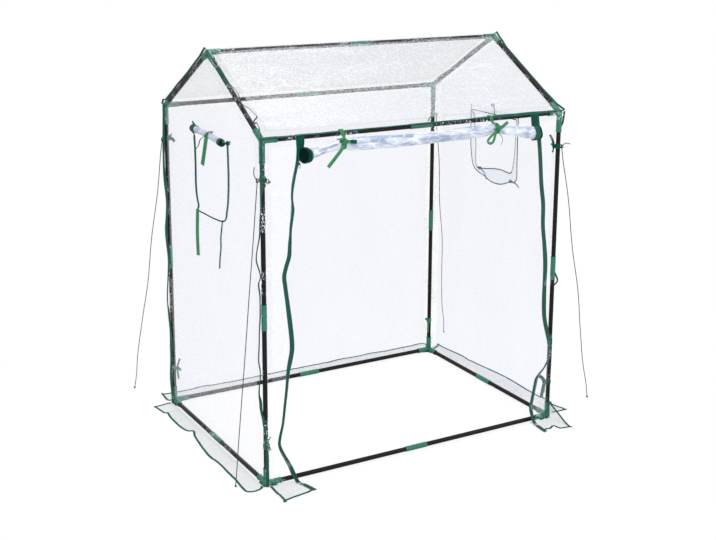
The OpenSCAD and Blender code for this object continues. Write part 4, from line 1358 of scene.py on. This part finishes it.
# the right one is tied in a half bow
right_tie = door_ties[1] - 0.012, roll_front, roll_z
bow = [
    (0, -0.004), (-0.018, -0.014), (-0.043, -0.032), (-0.050, -0.043), (-0.037, -0.052), (-0.021, -0.045),
    (-0.011, -0.024), (-0.001, -0.004)
]
tail(right_tie, [
    (a, -0.010 * math.sin(math.pi * i / 7), b) for i, (a, b) in enumerate(bow)
], lambda v: (0.5 - v, -1, 0.2), 0.0105)
tail(right_tie, [(0, 0, -0.002), (0.022, -0.008, 0.012), (0.052, -0.004, 0.029)], (0.2, -1, 0.3), 0.014)
tail(right_tie, [
    (0, 0, -0.004), (0.018, -0.012, -0.028), (0.023, -0.010, -0.048), (0.017, -0.008, -0.062)
], (0.8, -1, 0), 0.005)

# the open window's ribbons: one round its rolled flap, and two that hang from its lower corners
ring_round((pane_x, pane_tie, pane_z), pane_r * 0.9, (0, 1, 0), 0.013)
roll_tie = pane_x - pane_r, pane_tie, pane_z
knot((roll_tie[0] + 0.002, pane_tie - 0.004, pane_z), 0.007, 2)
tail(roll_tie, [
    (0, -0.006, -0.004), (-0.006, -0.006, -0.04), (-0.003, 0.020, -0.09), (0, 0.042, -0.128)
], (-1, -0.6, 0), 0.0185)
tail(roll_tie, [
    (0, 0, 0), (-0.010, 0.03, -0.018), (-0.006, 0.065, -0.05), (-0.004, 0.116, -0.084)
], (-0.3, 0.9, 0.4), 0.006, into=tie_bm)
tail(roll_tie, [(0, 0, 0.006), (0.004, -0.022, 0.018), (0.01, -0.05, 0.02)], (-0.6, -0.4, 1), 0.008)
sill = -wall_x - 0.006, window_y, window_z
tail(sill, [
    (0, 0.130, 0.016), (-0.003, 0.131, -0.06), (-0.003, 0.132, -0.12), (-0.002, 0.131, -0.184)
], (-1, -0.5, 0), 0.0175)
tail(sill, [
    (0, -0.130, 0.025), (-0.004, -0.118, -0.045), (-0.002, -0.112, -0.09), (-0.003, -0.102, -0.14),
    (-0.002, -0.094, -0.184)
], (-0.3, 1, 0), 0.0065, 0.0022, into=tie_bm)
y, z = window_holes[-1][0]
knot((-wall_x - 0.008, y - 0.002, z + 0.004), 0.0075, 5, tie_bm)

# the closed window's ribbons are knotted at its lower corners and over its top
for y, z, reach_y, reach_z in (
    (-0.103, 0.028, -0.060, -0.018), (0.143, 0.046, -0.055, -0.045), (0.053, 0.360, -0.012, -0.052)
):
    start = wall_x + 0.014, window_y + y, window_z + z
    knot(start, 0.0065, start[1])
    reaches = [(0, 0, 0), (0.006, reach_y * 0.5, reach_z * 0.35), (0.002, reach_y, reach_z)]
    tail(start, reaches, (1, 0, 0.3), 0.010)
piece("ribbons", ribbon_bm, ribbon_green, ["ribbon_ties"])
piece("dark_ties", tie_bm, dark_tape)


# ---------------------------------------------------------------- floor and light
# A plain white floor, a white surround, and soft lamps above and to the left.

floor_mesh = bpy.data.meshes.new("floor")
bm = bmesh.new()
bmesh.ops.create_grid(bm, x_segments=1, y_segments=1, size=14)
bm.to_mesh(floor_mesh)
bm.free()
floor = bpy.data.objects.new("floor", floor_mesh)
bpy.context.scene.collection.objects.link(floor)
floor_white, shader, spot, uv = finish("floor_white", Roughness=0.9, Specular_IOR_Level=0.1)
feed(shader["Base Color"], spot.noise(3, 2).colour((0.86, 0.86, 0.87), (0.9, 0.9, 0.9)))
seen = spot.node("LightPath")
far_off = spot.node("VectorMath", {"operation": "LENGTH"}, {0: spot}, 1).between(0.9, 1.9)
glow = spot.node("Emission", None, {"Color": (1.0, 1.0, 1.0), "Strength": 1.0})
lit = Wire(floor_white.node_tree.nodes["Principled BSDF"].outputs[0])
shown = spot.node("MixShader", None, {0: seen * (0.84 + far_off * 0.16), 1: lit, 2: glow})
feed(floor_white.node_tree.nodes["Material Output"].inputs["Surface"], shown)
floor_mesh.materials.append(floor_white)

world = bpy.data.worlds.new("studio")
bpy.context.scene.world = world
world.use_nodes = True
sky = Wire(world.node_tree.nodes.new("ShaderNodeLightPath").outputs["Is Camera Ray"])
path = sky.socket.node
white = (sky + Wire(path.outputs["Is Glossy Ray"]) + Wire(path.outputs["Is Transmission Ray"])).math("MINIMUM", 1)
background = world.node_tree.nodes["Background"]
feed(background.inputs["Color"], white.colour((0.62, 0.63, 0.66), (1.0, 1.0, 1.0)))


def lamp(name, spot, size, power):
    """A soft lamp that looks at the middle of the greenhouse."""
    light = bpy.data.lights.new(name, "AREA")
    light.shape = "RECTANGLE"
    light.size, light.size_y = size
    light.energy = power
    obj = bpy.data.objects.new(name, light)
    obj.location = at(*spot)
    obj.rotation_mode = "QUATERNION"
    obj.rotation_quaternion = (at(0, 0, 0.8) - obj.location).to_track_quat("-Z", "Y")
    bpy.context.scene.collection.objects.link(obj)


lamp("key", (-2.6, -3.2, 3.6), (1.6, 1.6), 110)
lamp("fill", (3.6, -2.6, 2.4), (2.2, 1.6), 60)
lamp("top", (0.3, 1.4, 4.2), (2.4, 2.0), 90)

bpy.context.scene.view_settings.view_transform = "Standard"
